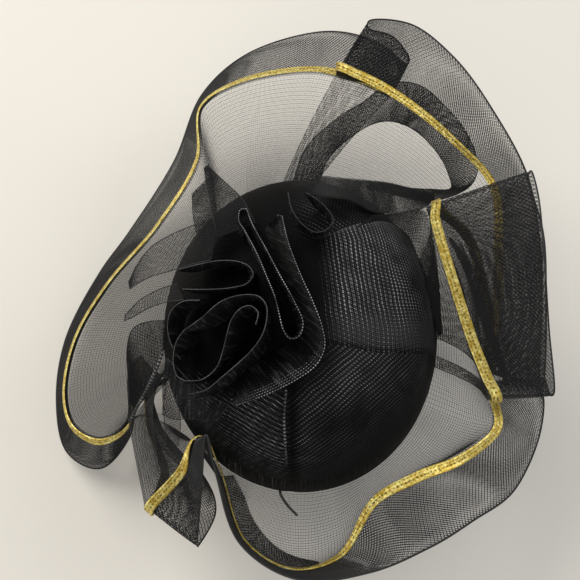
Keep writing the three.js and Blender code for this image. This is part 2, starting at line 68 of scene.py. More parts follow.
# Brim. Each row is a section across the strip: its name, the bearing where it leaves the crown, how
# far out and how high it starts there, the sewn line under the braid and the folded outer edge as
# (bearing, distance, height), how far the web swells, and how far its crease rises or drops at the
# seat, the sewn line and the edge where the strip turns back on itself.
BRIM_ROWS = (
    ("front", -92, 0, -1, (-92, 138, 30), (-91, 146, 74), 12, None),
    ("front_left", -79, 0, -1, (-82, 133, 40), (-78, 146, 75), 10, None),
    ("dip", -68, 0, -1, (-72, 112, 50), (-67, 144, 74), 8, None),
    ("dip_side", -56, 0, -1, (-60, 109, 54), (-55, 143, 52), 8, None),
    ("cup", -42, 0, -1, (-47, 115, 52), (-42, 147, 32), 8, None),
    ("cup_side", -31, 0, -1, (-36, 119, 50), (-29, 145, 26), 6, None),
    ("low_under", -14, 0, -7, (-30, 113, 44), (-22, 140, 34), 4, None),
    ("low_turn", -8, 0, -7, (-26, 106, 45), (-19, 134, 42), 4, (3, 4, 7)),
    ("low_crease", -13, 0, -4.6, (-31, 110, 54), (-24, 138, 58), 8, (3, 4, 6)),
    ("side_low", -5, 0, -1, (-20, 90, 66), (-12, 128, 72), 12, None),
    ("side", 8, 0, -1, (5, 76, 70), (6, 125, 84), 14, None),
    ("side_high", 22, 0, -1, (27, 79, 70), (20, 133, 86), 12, None),
    ("top_crease", 32, 0, -1.6, (35, 85, 68), (26, 137, 86), 8, (-3, -4, -6)),
    ("top_under", 24, 0, -4, (20, 93, 60), (13, 133, 72), 9, None),
    ("side_under", 13, 0, -6, (-2, 94, 55), (-1, 130, 61), 8, None),
    ("hidden_turn", 2, 0, -6, (-21, 102, 49), (-21, 134, 52), 5, (-3, -7, -7)),
    ("side_rise", 13, 0, -9, (0, 106, 40), (2, 133, 46), 6, None),
    ("hidden_rise", 24, 0, -8, (17, 116, 40), (13, 138, 50), 6, None),
    ("lobe_low", 44, 0, -5, (34, 135, 46), (28, 144, 68), 4, None),
    ("lobe", 62, 0, -1, (49, 137, 52), (43, 145, 88), 4, None),
    ("lobe_top", 78, 0, -1, (63, 140, 58), (57, 160, 90), 4, None),
    ("pleat_side", 90, 0, -1, (73, 142, 64), (68, 171, 90), 4, None),
    ("pleat_crease", 100, 0, -1.6, (81, 144, 67), (76, 167, 89), 3, (-3, -4, -6)),
    ("pleat_middle", 95, 0, -4, (74, 146, 59), (71, 172, 75), 3, None),
    ("pleat_back", 90, 0, -4, (68, 148, 55), (67, 170, 64), 3, (-3, -4, -6)),
    ("pleat_under", 96, 0, -7, (78, 158, 44), (75, 190, 48), 2, None),
    ("back", 104, 0, -4, (88, 166, 38), (86, 212, 26), -2, None),
    ("back_right", 112, 0, -1, (104, 164, 34), (100, 209, 10), -4, None),
    ("corner", 121, 0, -1, (113, 160, 26), (110, 202, -14), -4, None),
    ("slope_top", 131, 0, -1, (119, 132, 14), (121, 172, -34), -3, None),
    ("slope", 143, 0, -1, (139, 119, -6), (140, 157, -54), -3, None),
    ("slope_low", 159, 0, -1, (162, 126, -12), (153, 156, -58), -3, None),
    ("right", 175, 0, -1, (180, 136, -10), (173, 158, -56), -3, None),
    ("right_low", 186, 0, -1, (194, 143, -12), (188, 160, -58), -2, None),
    ("lobe_side", 191, 0, -1, (-159, 142, -16), (-159, 158, -56), 0, None),
    ("lobe_end", 194, 0, -1, (-154, 131, -18), (-150, 140, -44), 0, None),
    ("lobe_turn", 196, 0, -1, (-155, 114, -18), (-156, 118, -54), 0, None),
    ("valley", 197, 0, -2, (-170, 106, -18), (-168, 108, -60), 0, None),
    ("tuck", 198, 4, -3, (-176, 98, -16), (-168, 102, -58), 0, None),
    ("tuck_low", 199, 6, -5, (-160, 98, -16), (-146, 98, -50), 0, None),
    ("flap_under", 200, 8, -6, (-148, 103, -2), (-126, 97, -26), 0, None),
    ("flap_low", 204, 16, -2, (-134, 112, 8), (-114, 115, 0), 0, None),
    ("flap_turn", 209, 28, 3, (-128, 132, 21), (-114, 134, 6), 0, (3, 4, 6)),
    ("flap_over", 212, 16, 7, (-126, 108, 34), (-117, 113, 34), 0, None),
    ("flap_top", 222, 4, -1, (-126, 92, 40), (-120, 92, 70), 2, None),
    ("fold_back", 240, 0, -1, (-118, 96, 22), (-113, 106, 62), 4, None),
    ("front_right", 254, 0, -1, (-104, 126, 20), (-103, 132, 64), 10, None),
)
SEAT_INSET = 1.2
SEAT_WIDTH = 5
BRIM_WALL = 1
BRAID_WIDTH = 5.5
BRAID_WALL = 0.8
BRAID_GAP = 0.8
WEB_WIDTH = 60
HEM_DEPTH = 40
HEM_LIFT = 0.45
EDGE_CORD_RADIUS = 0.45

# The braid turns with each fold, up to the steepest in radians, and moves out from it, which is
# smoothed over a short way. Its profile holds places over its width and through its thickness, as shares.
STEEPEST_FOLD = 2.2
BRAID_STEP = 0.8
BRAID_EASE = 6
BRAID_PROFILE = (
    (0, 0), (0.04, 0.62), (0.12, 0.9), (0.22, 0.72), (0.36, 0.62), (0.5, 0.7),
    (0.64, 0.62), (0.78, 0.72), (0.88, 0.9), (0.96, 0.62), (1, 0), (0.5, 0),
)

# Flower. Each row is a place along a band: its free upper edge as (x, y, height), and how far its
# foot lies from the point under that edge, as (x, y).
PETALS = {
    "petal_outer": (
        ((-10, 24, 100), (-2, 8)), ((-7, 8, 103), (-3, 9)), ((-1, -11, 105), (-3, 10)),
        ((5, -26, 105), (-3, 11)), ((9, -38, 104), (-5, 13)), ((10, -47, 102), (-6, 14)),
        ((6, -55, 100), (-5, 17)), ((-3, -61, 97), (-2, 18)), ((-17, -66, 90), (0, 16)),
        ((-32, -69, 82), (0, 13)),
    ),
    "petal_long": (
        ((-28, 30, 97), (-1, 9)), ((-25, 20, 100), (-1, 9)), ((-17, 2, 104), (-1, 10)),
        ((-11, -12, 107), (-1, 11)), ((-4, -27, 109), (-2, 12)), ((0, -38, 109), (-2, 12)),
        ((-2, -44, 108), (-1, 11)), ((-6, -45, 108), (0, 11)), ((-9, -41, 108), (1, 12)),
        ((-11, -33, 108), (0, 12)), ((-13, -24, 107), (0, 11)), ((-17, -12, 104), (0, 10)),
        ((-22, 2, 101), (-1, 9)), ((-29, 18, 97), (-2, 8)),
    ),
    "rose_loop": (
        ((-59, -29, 78), (6, 3)), ((-50, -26, 86), (6, 3)), ((-39, -21, 96), (6, 3)),
        ((-29, -20, 101), (4, 5)), ((-21, -22, 104), (2, 8)), ((-17, -28, 106), (-1, 10)),
        ((-17, -36, 106), (-1, 11)), ((-19, -42, 104), (-1, 11)), ((-24, -48, 100), (0, 11)),
        ((-31, -53, 95), (0, 11)), ((-38, -57, 89), (0, 10)), ((-46, -61, 82), (0, 9)),
        ((-55, -61, 75), (0, 8)),
    ),
    "rose_inner": (
        ((-22, -36, 103), (0, 10)), ((-21, -30, 103), (0, 9)), ((-25, -26, 102), (2, 7)),
        ((-30, -27, 100), (5, 6)), ((-34, -32, 98), (7, 7)), ((-36, -38, 95), (8, 8)),
        ((-38, -45, 91), (6, 9)), ((-41, -51, 86), (2, 9)), ((-48, -55, 80), (0, 8)),
        ((-57, -54, 74), (0, 8)),
    ),
    "petal_side": (
        ((-63, 3, 82), (1, 8)), ((-52, 4, 86), (1, 8)), ((-41, 4, 90), (0, 8)),
        ((-32, 2, 93), (-1, 8)), ((-26, -2, 95), (-2, 8)), ((-24, -7, 96), (-3, 8)),
        ((-27, -11, 95), (-2, 8)), ((-35, -12, 92), (0, 8)), ((-48, -11, 88), (0, 8)),
        ((-60, -8, 82), (1, 8)),
    ),
    "petal_left": (
        ((-51, -15, 84), (2, 6)), ((-60, -14, 80), (3, 5)), ((-66, -17, 76), (4, 3)),
        ((-68, -24, 73), (4, 3)), ((-66, -33, 71), (4, 4)), ((-61, -41, 69), (3, 5)),
    ),
    "petal_back": (
        ((-7, 44, 90), (0, 6)), ((-5, 32, 93), (0, 6)), ((0, 23, 94), (0, 6)),
        ((7, 18, 94), (0, 6)), ((13, 20, 94), (0, 6)), ((16, 26, 93), (0, 6)),
        ((13, 33, 92), (0, 6)), ((8, 39, 91), (0, 6)), ((2, 44, 90), (0, 6)),
    ),
}
PETAL_CLEAR = 0.2
PETAL_TAPER = 0.14

# Short turns of mesh that join the ends of two petals, in the same form.
PETAL_TURNS = {
    "rose_turn": (
        ((-59, -29, 78), (6, 3)), ((-62.5, -34, 76), (5, 3)), ((-64, -43, 73), (4, 4)),
        ((-61.5, -51, 73), (2, 6)), ((-57, -54, 74), (0, 8)),
    ),
    "long_turn": (
        ((-29, 18, 97), (-2, 8)), ((-32, 25, 94), (-2, 8)), ((-31.5, 31, 94), (-1, 9)),
        ((-28, 30, 97), (-1, 9)),
    ),
}

# Leaves. Each row holds the band's two edges, back and front, as (x, y, height).
LEAVES = {
    "leaf_upper": (
        ((-44, 36, 80), (-46, 7, 85)), ((-57, 32, 77), (-57, 7, 80)), ((-71, 28, 72), (-69, 6, 74)),
        ((-81, 23, 68), (-80, 5, 69)), ((-88, 14, 65), (-87, 3, 65)), ((-92, 5, 63), (-91, 1, 63)),
    ),
    "leaf_lower": (
        ((-64, -3, 78), (-60, -12, 78)), ((-74, -3, 71), (-71, -10, 70)),
        ((-85, -6, 64), (-80, -11, 65)), ((-90, -10, 61), (-88, -14, 61)),
        ((-93, -13, 60), (-93, -16, 60)),
    ),
    "leaf_low": (
        ((-68.9, -22, 75), (-69, -29, 64)), ((-80, -22, 72), (-73, -36, 59)),
        ((-87, -24, 67), (-76, -42, 55)), ((-90, -32, 61), (-81, -49, 49)),
        ((-90, -43, 54), (-85, -55, 44)), ((-90, -54, 46), (-88, -58, 40)),
    ),
}

# Sheer folds of mesh round the flower, as their two edges.
SHEER_FOLDS = {
    "fold_high": (
        ((-44, 22, 82), (-24, 28, 86)), ((-48, 42, 79), (-31, 44, 83)), ((-52, 60, 74), (-42, 60, 76)),
        ((-54, 72, 70), (-52, 74, 70)),
    ),
    "fold_back": (
        ((-50, 12, 77), (-42, 23, 80)), ((-55, 26, 74), (-44, 34, 78)), ((-59, 44, 68), (-47, 52, 74)),
        ((-61, 60, 62), (-49, 69, 69)),
    ),
    "skirt_left": (
        ((-68, -40, 69), (-72, -62, 44)), ((-62, -46, 70), (-66, -65, 46)),
        ((-54, -54, 69), (-57, -66, 50)), ((-45, -60, 68), (-49, -68, 54)),
        ((-36, -64, 67), (-42, -69, 58)),
    ),
    "blade_low": (
        ((-69, -41, 66), (-64, -41, 68)), ((-71, -52, 56), (-64, -53, 54)), ((-72, -63, 38), (-64, -64, 34)),
        ((-73, -72, 18), (-67, -71, 14)),
    ),
    "crown_gather": (
        ((9, 66, 72), (6, 44, 88)), ((24, 70, 63), (24, 46, 80)), ((42, 80, 45), (40, 49, 62)),
        ((56, 91, 25), (59, 64, 35)), ((72, 91, 18), (76, 74, 24)), ((85, 90, 14), (84, 84, 19)),
    ),
    "front_tuck": (
        ((-43, -89, 20.5), (-36, -88, 17)), ((-39.5, -102, 20), (-30, -99, 18)),
        ((-35, -114, 20), (-26, -109, 18)), ((-27, -125, 22), (-20, -118, 20)),
        ((-17, -133, 26), (-12, -126, 25)), ((-5, -137, 31), (-3, -131, 31)),
        ((8, -136.5, 36), (8, -134, 36)),
    ),
    "pleat_fold": (
        ((78, 25, 75), (80, 24, 75)), ((83, 8, 77), (88, 8, 77)), ((87, -10, 78), (92, -10, 78)),
        ((90, -26, 78), (95, -26, 78)), ((94, -41, 77), (99, -41, 77)), ((99, -56, 74), (101, -56, 74)),
    ),
    "crown_wing": (
        ((30, 34, 71), (40, 46, 63)), ((46, 33, 61), (58, 62, 38)), ((57, 25, 51), (77, 74, 20)),
        ((65, 14, 43), (80, 52, 24)), ((72, 2, 37), (80, 20, 28)), ((78, -12, 29), (79, -10, 28)),
    ),
}

# Of those, the ones gathered close, and how much wider their threads are. The densest are nearly closed,
# with no cord along their edges.
DENSE_FOLDS = {
    "fold_high": 1.35, "fold_back": 1.35,
    "crown_gather": 1.6, "front_tuck": 1.6, "pleat_fold": 2.2, "crown_wing": 1.6,
}
UNCORDED = 1.5

# The band of doubled mesh under the brim's back left, as its outer and inner edge.
UNDER_LOOP = (
    ((-7, 101, -4.2), (12, 103, 0.3)), ((5, 127, 12), (19, 120, 9)), ((26, 141, 26), (31, 127, 20)),
    ((40, 145, 35), (45, 130, 32)), ((56, 151, 46), (56, 126, 41)), ((73, 139, 59), (66, 120, 44)),
    ((87, 121, 61), (75, 115, 41)), ((99, 104, 57), (85, 104, 37)), ((106, 90, 45), (91, 95, 31)),
    ((103, 84, 32), (93, 87, 26)), ((84, 84, 16), (81, 90, 20)), ((68, 89, 11), (69, 94, 15)),
    ((56, 94, 9), (57, 99, 12)), ((44, 98, 7), (46, 101, 9)),
)

# The raised band of cloth over the crown lies between two folds, which run from under the flower to
# the crown's left side. Each row is a place along a fold, as (x, y).
FOLD_BACK = ((-34, 8), (-12, 15), (9, 24), (21, 31), (35, 40), (50, 49), (62, 57))
FOLD_FRONT = ((-30, -26), (-8, -33), (11, -34), (21, -35), (37, -36), (56, -32), (74, -25))

# Loose end of sewing thread at the crown's front rim, as (x, y, height).
LOOSE_THREAD = (
    (-11.5, -92.5, -1), (-11, -93.5, -8), (-9, -95, -18), (-6, -97, -28), (-3.5, -98, -36), (-2, -98.5, -42),
)
THREAD_DIAMETER = 1.6
THREAD_STEPS = 18

# Ribs of the crown's cloth. They slant away from a seam down its front, by a slope on each side of it
# and by another behind the raised band. Each rib leans: it rises over most of its width.
SEAM_X = -8
RIB_SLOPE = 0.9
LEFT_RIB_SLOPE = 0.6
BACK_RIB_SLOPE = 0.62
BACK_RIB_BEND = 0.004
RIB_PITCH = 4.2
RIB_DEPTH = 0.9
RIB_LEAN = 0.75
CLOTH_EASE = 1.2
PINCH_DEPTH = 2.2
PINCH_WIDTH = 4.5
FLOWER_MIDDLE = (-22, -18)
FLOWER_REACH = 48

# How each petal shows: how far the foot of its inner layer lies from the point under its rim, as
# (x, y), how many corded rows run along that layer, and whether they are dotted, with the brighter painted
# glints.
PETAL_FACES = {
    "petal_outer": ((-12, 21), 4, True),
    "petal_long": ((0, 12), 1, True),
    "rose_loop": ((2, 6), 2, False),
    "rose_inner": ((3, 8), 1, False),
    "petal_side": ((1, 7), 1, False),
    "petal_left": ((6, 7), 1, False),
    "petal_back": ((0, 6), 1, False),
    "rose_turn": ((2, 6), 1, False),
    "long_turn": ((0, 12), 1, True),
}
ROW_STEP = 2.4
DOT_PITCH = 1.5
EDGE_PITCH = 1.1

# Ropes of twisted thread: down the crown's front seam as (x, y), and along the low leaf's edge.
SEAM_ROPE = ((-8, -56), (-9, -68), (-8.5, -78), (-8, -86))
SELVEDGE = ((-70, -37, 70), (-73, -44, 66), (-79, -52, 56), (-85, -59, 47), (-89, -64, 41))

# Stage. Each lamp has a name, a place and a size in metres, a power in watts and a colour.
LAMPS = (
    ("key_light", (-0.9, 0.75, 1.35), 1.3, 30, (1.0, 0.96, 0.9)),
    ("side_light", (1.3, 0.2, 1.0), 1.0, 9, (0.95, 0.97, 1.0)),
    ("front_light", (-0.1, -1.5, 1.1), 1.2, 8, (1.0, 0.98, 0.96)),
)
SKY_COLOUR = (0.95, 0.96, 1.0, 1)
SKY_STRENGTH = 0.55
FLOOR_REACH = 1500
CAMERA_PLACE = (-0.006, -0.1826, 0.4555)
CAMERA_TILT = 25
CAMERA_LENS = 50.71
CAMERA_SENSOR = 36


# Curves and surfaces

def through(points, closed, places):
    """Points at the given places along a smooth curve, where each control point is one unit."""
    points = np.asarray(points, float)
    places = np.asarray(places, float)
    count = len(points)
    if closed:
        start = np.floor(places).astype(int)
        part = places - start
        a, b, c, d = (points[(start + step) % count] for step in (-1, 0, 1, 2))
    else:
        start = np.clip(np.floor(places).astype(int), 0, count - 2)
        part = places - start
        before = 2 * points[0] - points[1]
        after = 2 * points[-1] - points[-2]
        whole = np.vstack([before, points, after])
        a, b, c, d = (whole[start + step] for step in range(4))
    gaps = [np.sum((q - p) ** 2, -1, keepdims=True) ** 0.25 for p, q in ((a, b), (b, c), (c, d))]
    middle = np.where(gaps[1] < 1e-4, 1.0, gaps[1])
    first = np.where(gaps[0] < 1e-4, middle, gaps[0])
    last = np.where(gaps[2] < 1e-4, middle, gaps[2])
    leave = ((b - a) / first - (c - a) / (first + middle) + (c - b) / middle) * middle
    reach = ((c - b) / middle - (d - b) / (middle + last) + (d - c) / last) * middle
    part = part[..., None]
    square = part ** 2
    cube = part ** 3
    return (
        b + leave * part
        + (3 * (c - b) - 2 * leave - reach) * square
        + (2 * (b - c) + leave + reach) * cube
    )


def unit(vectors):
    """Vectors scaled to length one."""
    length = np.linalg.norm(vectors, axis=-1, keepdims=True)
    return vectors / np.maximum(length, 1e-9)


def lengths_along(points):
    """Distance along a run of points, from its first."""
    steps = np.linalg.norm(np.diff(points, axis=0), axis=1)
    return np.concatenate([[0.0], np.cumsum(steps)])


def polar(bearing, distance, height):
    """Point at a bearing round the crown, a distance from its axis and a height."""
    turn = math.radians(bearing)
    return (distance * math.cos(turn), distance * math.sin(turn), height)


def rim_distance(bearing):
    """Distance from the axis to the crown's rim along a bearing."""
    turn = math.radians(bearing)
    return 1 / math.hypot(math.cos(turn) / CROWN_HALF_WIDTH, math.sin(turn) / CROWN_HALF_LENGTH)


def dome_height(share, height):
    """Height of the dome over a place of its plan, where share is 1 at the rim."""
    share = np.clip(share, 0, 1)
    return height * (1 - share ** CROWN_ROUNDNESS) ** (1 / CROWN_ROUNDNESS)


def plan_share(x, y, outset=0):
    """How far out a place of the dome's plan lies, where the rim is 1."""
    return np.hypot(x / (CROWN_HALF_WIDTH + outset), y / (CROWN_HALF_LENGTH + outset))


def dome_point(x, y, outset):
    """Point of the dome over (x, y), outset from the crown's outer face."""
    return np.stack([x, y, dome_height(plan_share(x, y, outset), CROWN_HEIGHT + outset)], -1)


def smooth_step(low, high, value):
    """0 below low, 1 above high and a soft rise between them."""
    part = np.clip((value - low) / (high - low), 0, 1)
    return part * part * (3 - 2 * part)


class BrimShape:
    """The brim's middle surface. A place on it is how far round it lies, where each section is one
    unit, and how far across: 0 to 1 is the seat, 1 to 2 the sheer web and 2 to 3 the hem."""

    def __init__(self):
        inner, sewn, edge, belly = [], [], [], []
        for _, rim, out, level, gold, fold, swell, crease in BRIM_ROWS:
            start = rim_distance(rim) - SEAT_INSET + out
            for turned in ((0, 0, 0), crease) if crease else ((0, 0, 0),):
                inner.append(polar(rim, start, level + turned[0]))
                sewn.append(polar(gold[0], gold[1], gold[2] + turned[1]))
                edge.append(polar(fold[0], fold[1], fold[2] + turned[2]))
                belly.append((swell, 0, 0))
        self.rails = (inner, sewn, edge, belly)
        self.sections = len(inner)
        fine = np.linspace(0, self.sections, 60 * self.sections + 1)
        self.fine = fine
        self.lengths = [lengths_along(through(rail, True, fine)) for rail in (inner, sewn, edge)]

    def evenly(self, rail, count):
        """Places round the brim that are evenly spaced along a rail."""
        length = self.lengths[rail]
        return np.interp(np.arange(count) / count * length[-1], length, self.fine)

    def place_at(self, rail, share):
        """Places round the brim at shares of a rail's length, which may pass 0 and 1."""
        length = self.lengths[rail]
        turns = np.floor(share)
        return np.interp((share - turns) * length[-1], length, self.fine) + turns * self.sections

    def point(self, place, across):
        """Points of the middle surface."""
        place, across = np.broadcast_arrays(np.asarray(place, float), np.asarray(across, float))
        inner, sewn, edge, belly = (through(rail, True, place) for rail in self.rails)
        level = inner * (1, 1, 0)
        outward = unit(level)
        lip = inner + SEAT_WIDTH * outward
        rise = unit(sewn - lip)
        swell = unit(outward - rise * np.sum(outward * rise, -1, keepdims=True))
        seat = np.clip(across, 0, 1)[..., None]
        web = np.clip(across - 1, 0, 1)[..., None]
        hem = np.clip(across - 2, 0, 1)[..., None]
        bulge = swell * belly[..., :1] * np.sin(np.pi * web)
        below = inner + (lip - inner) * seat
        return below + (sewn - lip) * web + bulge + (edge - sewn) * hem

    def normal(self, place, across):
        """Unit normals of the middle surface, pointing up at the front."""
        place, across = np.broadcast_arrays(np.asarray(place, float), np.asarray(across, float))
        round_step = 0.02
        low = np.where(across <= 2, np.maximum(across - 0.03, 0), np.maximum(across - 0.03, 2))
        high = np.where(across < 2, np.minimum(across + 0.03, 2), np.minimum(across + 0.03, 3))
        along = self.point(place + round_step, across) - self.point(place - round_step, across)
        over = self.point(place, high) - self.point(place, low)
        return unit(np.cross(over, along))


# Meshes

def add_mesh(name, points, faces, maps=None, smooth=True):
    """New mesh object from points in millimetres and faces, with named UV maps given per point."""
    mesh = bpy.data.meshes.new(name)
    points = np.asarray(points, float) * MM
    faces = np.asarray(faces, int)
    corners = faces.shape[1]
    mesh.vertices.add(len(points))
    mesh.vertices.foreach_set("co", points.ravel())
    mesh.loops.add(faces.size)
    mesh.loops.foreach_set("vertex_index", faces.ravel())
    mesh.polygons.add(len(faces))
    mesh.polygons.foreach_set("loop_start", np.arange(len(faces)) * corners)
    mesh.polygons.foreach_set("use_smooth", np.full(len(faces), smooth))
    for label, places in (maps or {}).items():
        layer = mesh.uv_layers.new(name=label)
        layer.data.foreach_set("uv", np.asarray(places, float)[faces.ravel()].ravel())
    mesh.update()
    mesh.validate()
    thing = bpy.data.objects.new(name, mesh)
    bpy.context.scene.collection.objects.link(thing)
    return thing


def grid_faces(columns, rows, ring=False, start=0):
    """Faces of a grid of points laid out column by column, closed on itself when ring is true."""
    count = columns if ring else columns - 1
    i, j = np.meshgrid(np.arange(count), np.arange(rows - 1), indexing="ij")
    following = (i + 1) % columns
    corners = [i * rows + j, i * rows + j + 1, following * rows + j + 1, following * rows + j]
    return np.stack([corner.ravel() for corner in corners], -1) + start


def ribbons(paths, normals, width, closed=False, flip=0):
    """Flat threads along paths, each turned a little out of the surface, one way and then the other.

    Returns points, faces and, for each point, its thread's number, how far along it lies and on which of
    its two edges."""
    threads, steps = paths.shape[:2]
    if closed:
        along = np.roll(paths, -1, 1) - np.roll(paths, 1, 1)
    else:
        along = np.gradient(paths, axis=1)
    side = unit(np.cross(unit(along), normals))
    lean = np.where((np.arange(threads) + flip) % 2, 1.0, -1.0)[:, None, None]
    half = (side + normals * lean) * (width / 2)
    points = np.stack([paths - half, paths + half], 2).reshape(-1, 3)
    ends = steps if closed else steps - 1
    thread, step = np.meshgrid(np.arange(threads), np.arange(ends), indexing="ij")
    base = (thread * steps + step) * 2
    following = (thread * steps + (step + 1) % steps) * 2
    faces = np.stack([base, base + 1, following + 1, following], -1).reshape(-1, 4)
    number = np.repeat(np.arange(threads), steps * 2)
    far = np.tile(np.repeat(np.arange(steps) / max(steps - 1, 1), 2), threads)
    edge = np.tile([0.0, 1.0], threads * steps)
    return points, faces, np.stack([number, far, edge], -1)


def join(parts):
    """Points, faces and marks of several parts as one."""
    points, faces, marks, start = [], [], [], 0
    for some_points, some_faces, some_marks in parts:
        points.append(some_points)
        faces.append(some_faces + start)
        marks.append(some_marks)
        start += len(some_points)
    return np.vstack(points), np.vstack(faces), np.vstack(marks)


def thread_maps(parts, counts):
    """UV places that give each group of threads a band of its own, and each thread a narrow strip."""
    maps = []
    for k, ((_, _, marks), count) in enumerate(zip(parts, counts)):
        u = (marks[:, 0] + 0.15 + 0.7 * marks[:, 2]) / count
        v = (k + 0.02 + 0.96 * marks[:, 1]) / len(parts)
        maps.append(np.stack([u, v], -1))
    return np.vstack(maps)


def tube(path, radius, sides=6, closed=False):
    """Round cord along a path, with a radius for each of its points. Marks hold how far along and how
    far round it each point lies."""
    steps = len(path)
    radius = np.broadcast_to(np.asarray(radius, float), (steps,))
    if closed:
        along = unit(np.roll(path, -1, 0) - np.roll(path, 1, 0))
    else:
        along = unit(np.gradient(path, axis=0))
    up = np.zeros_like(along)
    helper = np.array([0.0, 0.0, 1.0])
    for i, direction in enumerate(along):
        helper = helper - direction * helper.dot(direction)
        helper = helper / max(np.linalg.norm(helper), 1e-9)
        up[i] = helper
    side = np.cross(along, up)
    turns = np.arange(sides) / sides * 2 * np.pi
    ring = np.cos(turns)[None, :, None] * side[:, None] + np.sin(turns)[None, :, None] * up[:, None]
    points = path[:, None] + ring * radius[:, None, None]
    ends = steps if closed else steps - 1
    i, j = np.meshgrid(np.arange(ends), np.arange(sides), indexing="ij")
    following = (i + 1) % steps
    beside = (j + 1) % sides
    faces = np.stack([i * sides + j, following * sides + j, following * sides + beside,
                      i * sides + beside], -1).reshape(-1, 4)
    marks = np.zeros((steps * sides, 3))
    marks[:, 1] = np.repeat(lengths_along(path), sides)
    marks[:, 2] = np.tile(np.arange(sides) / sides, steps)
    return points.reshape(-1, 3), faces, marks


# Materials

class Value:
    """A shader socket that can be used in sums."""

    def __init__(self, finish, socket):
        self.finish = finish
        self.socket = socket

    def maths(self, operation, *terms):
        """The terms put through one sum, or this value where there are none."""
        inputs = dict(enumerate(terms or (self,)))
        return self.finish.node("ShaderNodeMath", {"operation": operation}, inputs).out()

    def at_least(self, low):
        return self.maths("MAXIMUM", self, low)

    def at_most(self, high):
        return self.maths("MINIMUM", self, high)

    def held(self):
        """This value, kept from 0 to 1."""
        return self.at_least(0.0).at_most(1.0)

    def __add__(self, other):
        return self.maths("ADD", self, other)

    def __sub__(self, other):
        return self.maths("SUBTRACT", self, other)

    def __rsub__(self, other):
        return self.maths("SUBTRACT", other, self)

    def __mul__(self, other):
        return self.maths("MULTIPLY", self, other)

    def __truediv__(self, other):
        return self.maths("DIVIDE", self, other)

    def __pow__(self, other):
        return self.maths("POWER", self, other)

    __radd__ = __add__
    __rmul__ = __mul__


class Made:
    """A shader node, with its outputs as values."""

    def __init__(self, finish, node):
        self.finish = finish
        self.node = node

    def out(self, which=0):
        return Value(self.finish, self.node.outputs[which])


class Finish:
    """A material under construction."""

    def __init__(self, name):
        self.material = bpy.data.materials.new(name)
        self.material.use_nodes = True
        self.tree = self.material.node_tree
        self.tree.nodes.clear()
        self.output = self.tree.nodes.new("ShaderNodeOutputMaterial")

    def node(self, kind, settings=None, inputs=None):
        """New node with its settings, and then its inputs as values, numbers or colours."""
        made = self.tree.nodes.new(kind)
        for name, value in (settings or {}).items():
            setattr(made, name, value)
        for name, value in (inputs or {}).items():
            if isinstance(value, Value):
                self.tree.links.new(value.socket, made.inputs[name])
            else:
                made.inputs[name].default_value = value
        return Made(self, made)

    def mix(self, amount, one, other):
        """Colour between two colours."""
        settings = {"data_type": "RGBA", "blend_type": "MIX"}
        return self.node("ShaderNodeMix", settings, {0: amount, 6: one, 7: other}).out(2)

    def grey(self, amount, dark, light):
        """Tone between a dark and a light one, both nearly neutral."""
        one, other = ((level, level, level * 1.02, 1) for level in (dark, light))
        return self.mix(amount, one, other)

    def blotches(self, size, detail=2.0, vector=None):
        """Cloudy values from 0 to 1, with clouds about size metres across."""
        where = vector or self.node("ShaderNodeTexCoord").out("Object")
        inputs = {"Vector": where, "Scale": 1 / size, "Detail": detail}
        return self.node("ShaderNodeTexNoise", {}, inputs).out(0)

    def map(self, name):
        """The two coordinates of a UV map, as values."""
        uv = self.node("ShaderNodeUVMap", {"uv_map": name}).out(0)
        parts = self.node("ShaderNodeSeparateXYZ", {}, {0: uv})
        return parts.out(0), parts.out(1)

    def waves(self, value):
        """0 to 1 and back, once for each whole number."""
        return (value * (2 * math.pi)).maths("SINE") * 0.5 + 0.5

    def bump(self, height, distance, strength):
        inputs = {"Height": height, "Distance": distance, "Strength": strength}
        return self.node("ShaderNodeBump", {}, inputs).out(0)

    def close(self, **sockets):
        """Ends the material with the shader for a solid surface."""
        inputs = {name.replace("_", " "): value for name, value in sockets.items()}
        shader = self.node("ShaderNodeBsdfPrincipled", {}, inputs)
        self.tree.links.new(shader.out(0).socket, self.output.inputs["Surface"])
        return self.material


# Sizes of what the finishes show, in metres: patches in which threads differ in tone and roughness,
# and the cloth's painted highlights in strength, folds and crumples in the crown's cloth, and the knots
# and dots that its layers make together, which its painted highlights pick out.
TONE_PATCH = 0.012
ROUGH_PATCH = 0.003
CLOTH_FOLD = 0.03
CLOTH_CRUMPLE = 0.009
KNOT_WIDTH = 0.0012
KNOT_LENGTH = 0.00115
CLOTH_DOT = 0.0024
CLOTH_RELIEF = 0.0004

# How often threads differ across their map and along it, so that groups of them share a tone.
STREAK_SPREAD = (70, 2, 1)

# The braid's openings, rows and strands, its patches, among them those of painted glints, and its relief, in
# metres.
OPENING_PITCH = 0.0021
ROW_PITCH = 0.0019
STRAND_PITCH = 0.0008
GOLD_WANDER = 0.004
GOLD_SPECK = 0.0012
GOLD_FLARE = 0.005
GOLD_SPARKLE = 0.0016
GOLD_RELIEF = 0.0005


def plastic(finish, tone, dark, light, roughness, gloss):
    """Ends a finish as smooth plastic, a little rougher in some patches than in others."""
    return finish.close(
        Base_Color=finish.grey(tone, dark, light),
        Specular_IOR_Level=gloss,
        Roughness=finish.blotches(ROUGH_PATCH) * 0.15 + (roughness - 0.07),
    )


def thread_finish(name, dark, light, roughness, gloss=0.3):
    """Smooth plastic thread, uneven in tone from one group of threads to the next."""
    finish = Finish(name)
    uv = finish.node("ShaderNodeUVMap", {"uv_map": "OFBake"}).out()
    spread = finish.node("ShaderNodeVectorMath", {"operation": "MULTIPLY"}, {0: uv, 1: STREAK_SPREAD}).out()
    streaks = finish.blotches(1.0, 3.0, spread) * 3.0 - 1.25
    tone = finish.blotches(TONE_PATCH) * 0.5 + streaks
    return plastic(finish, tone.held(), dark, light, roughness, gloss)


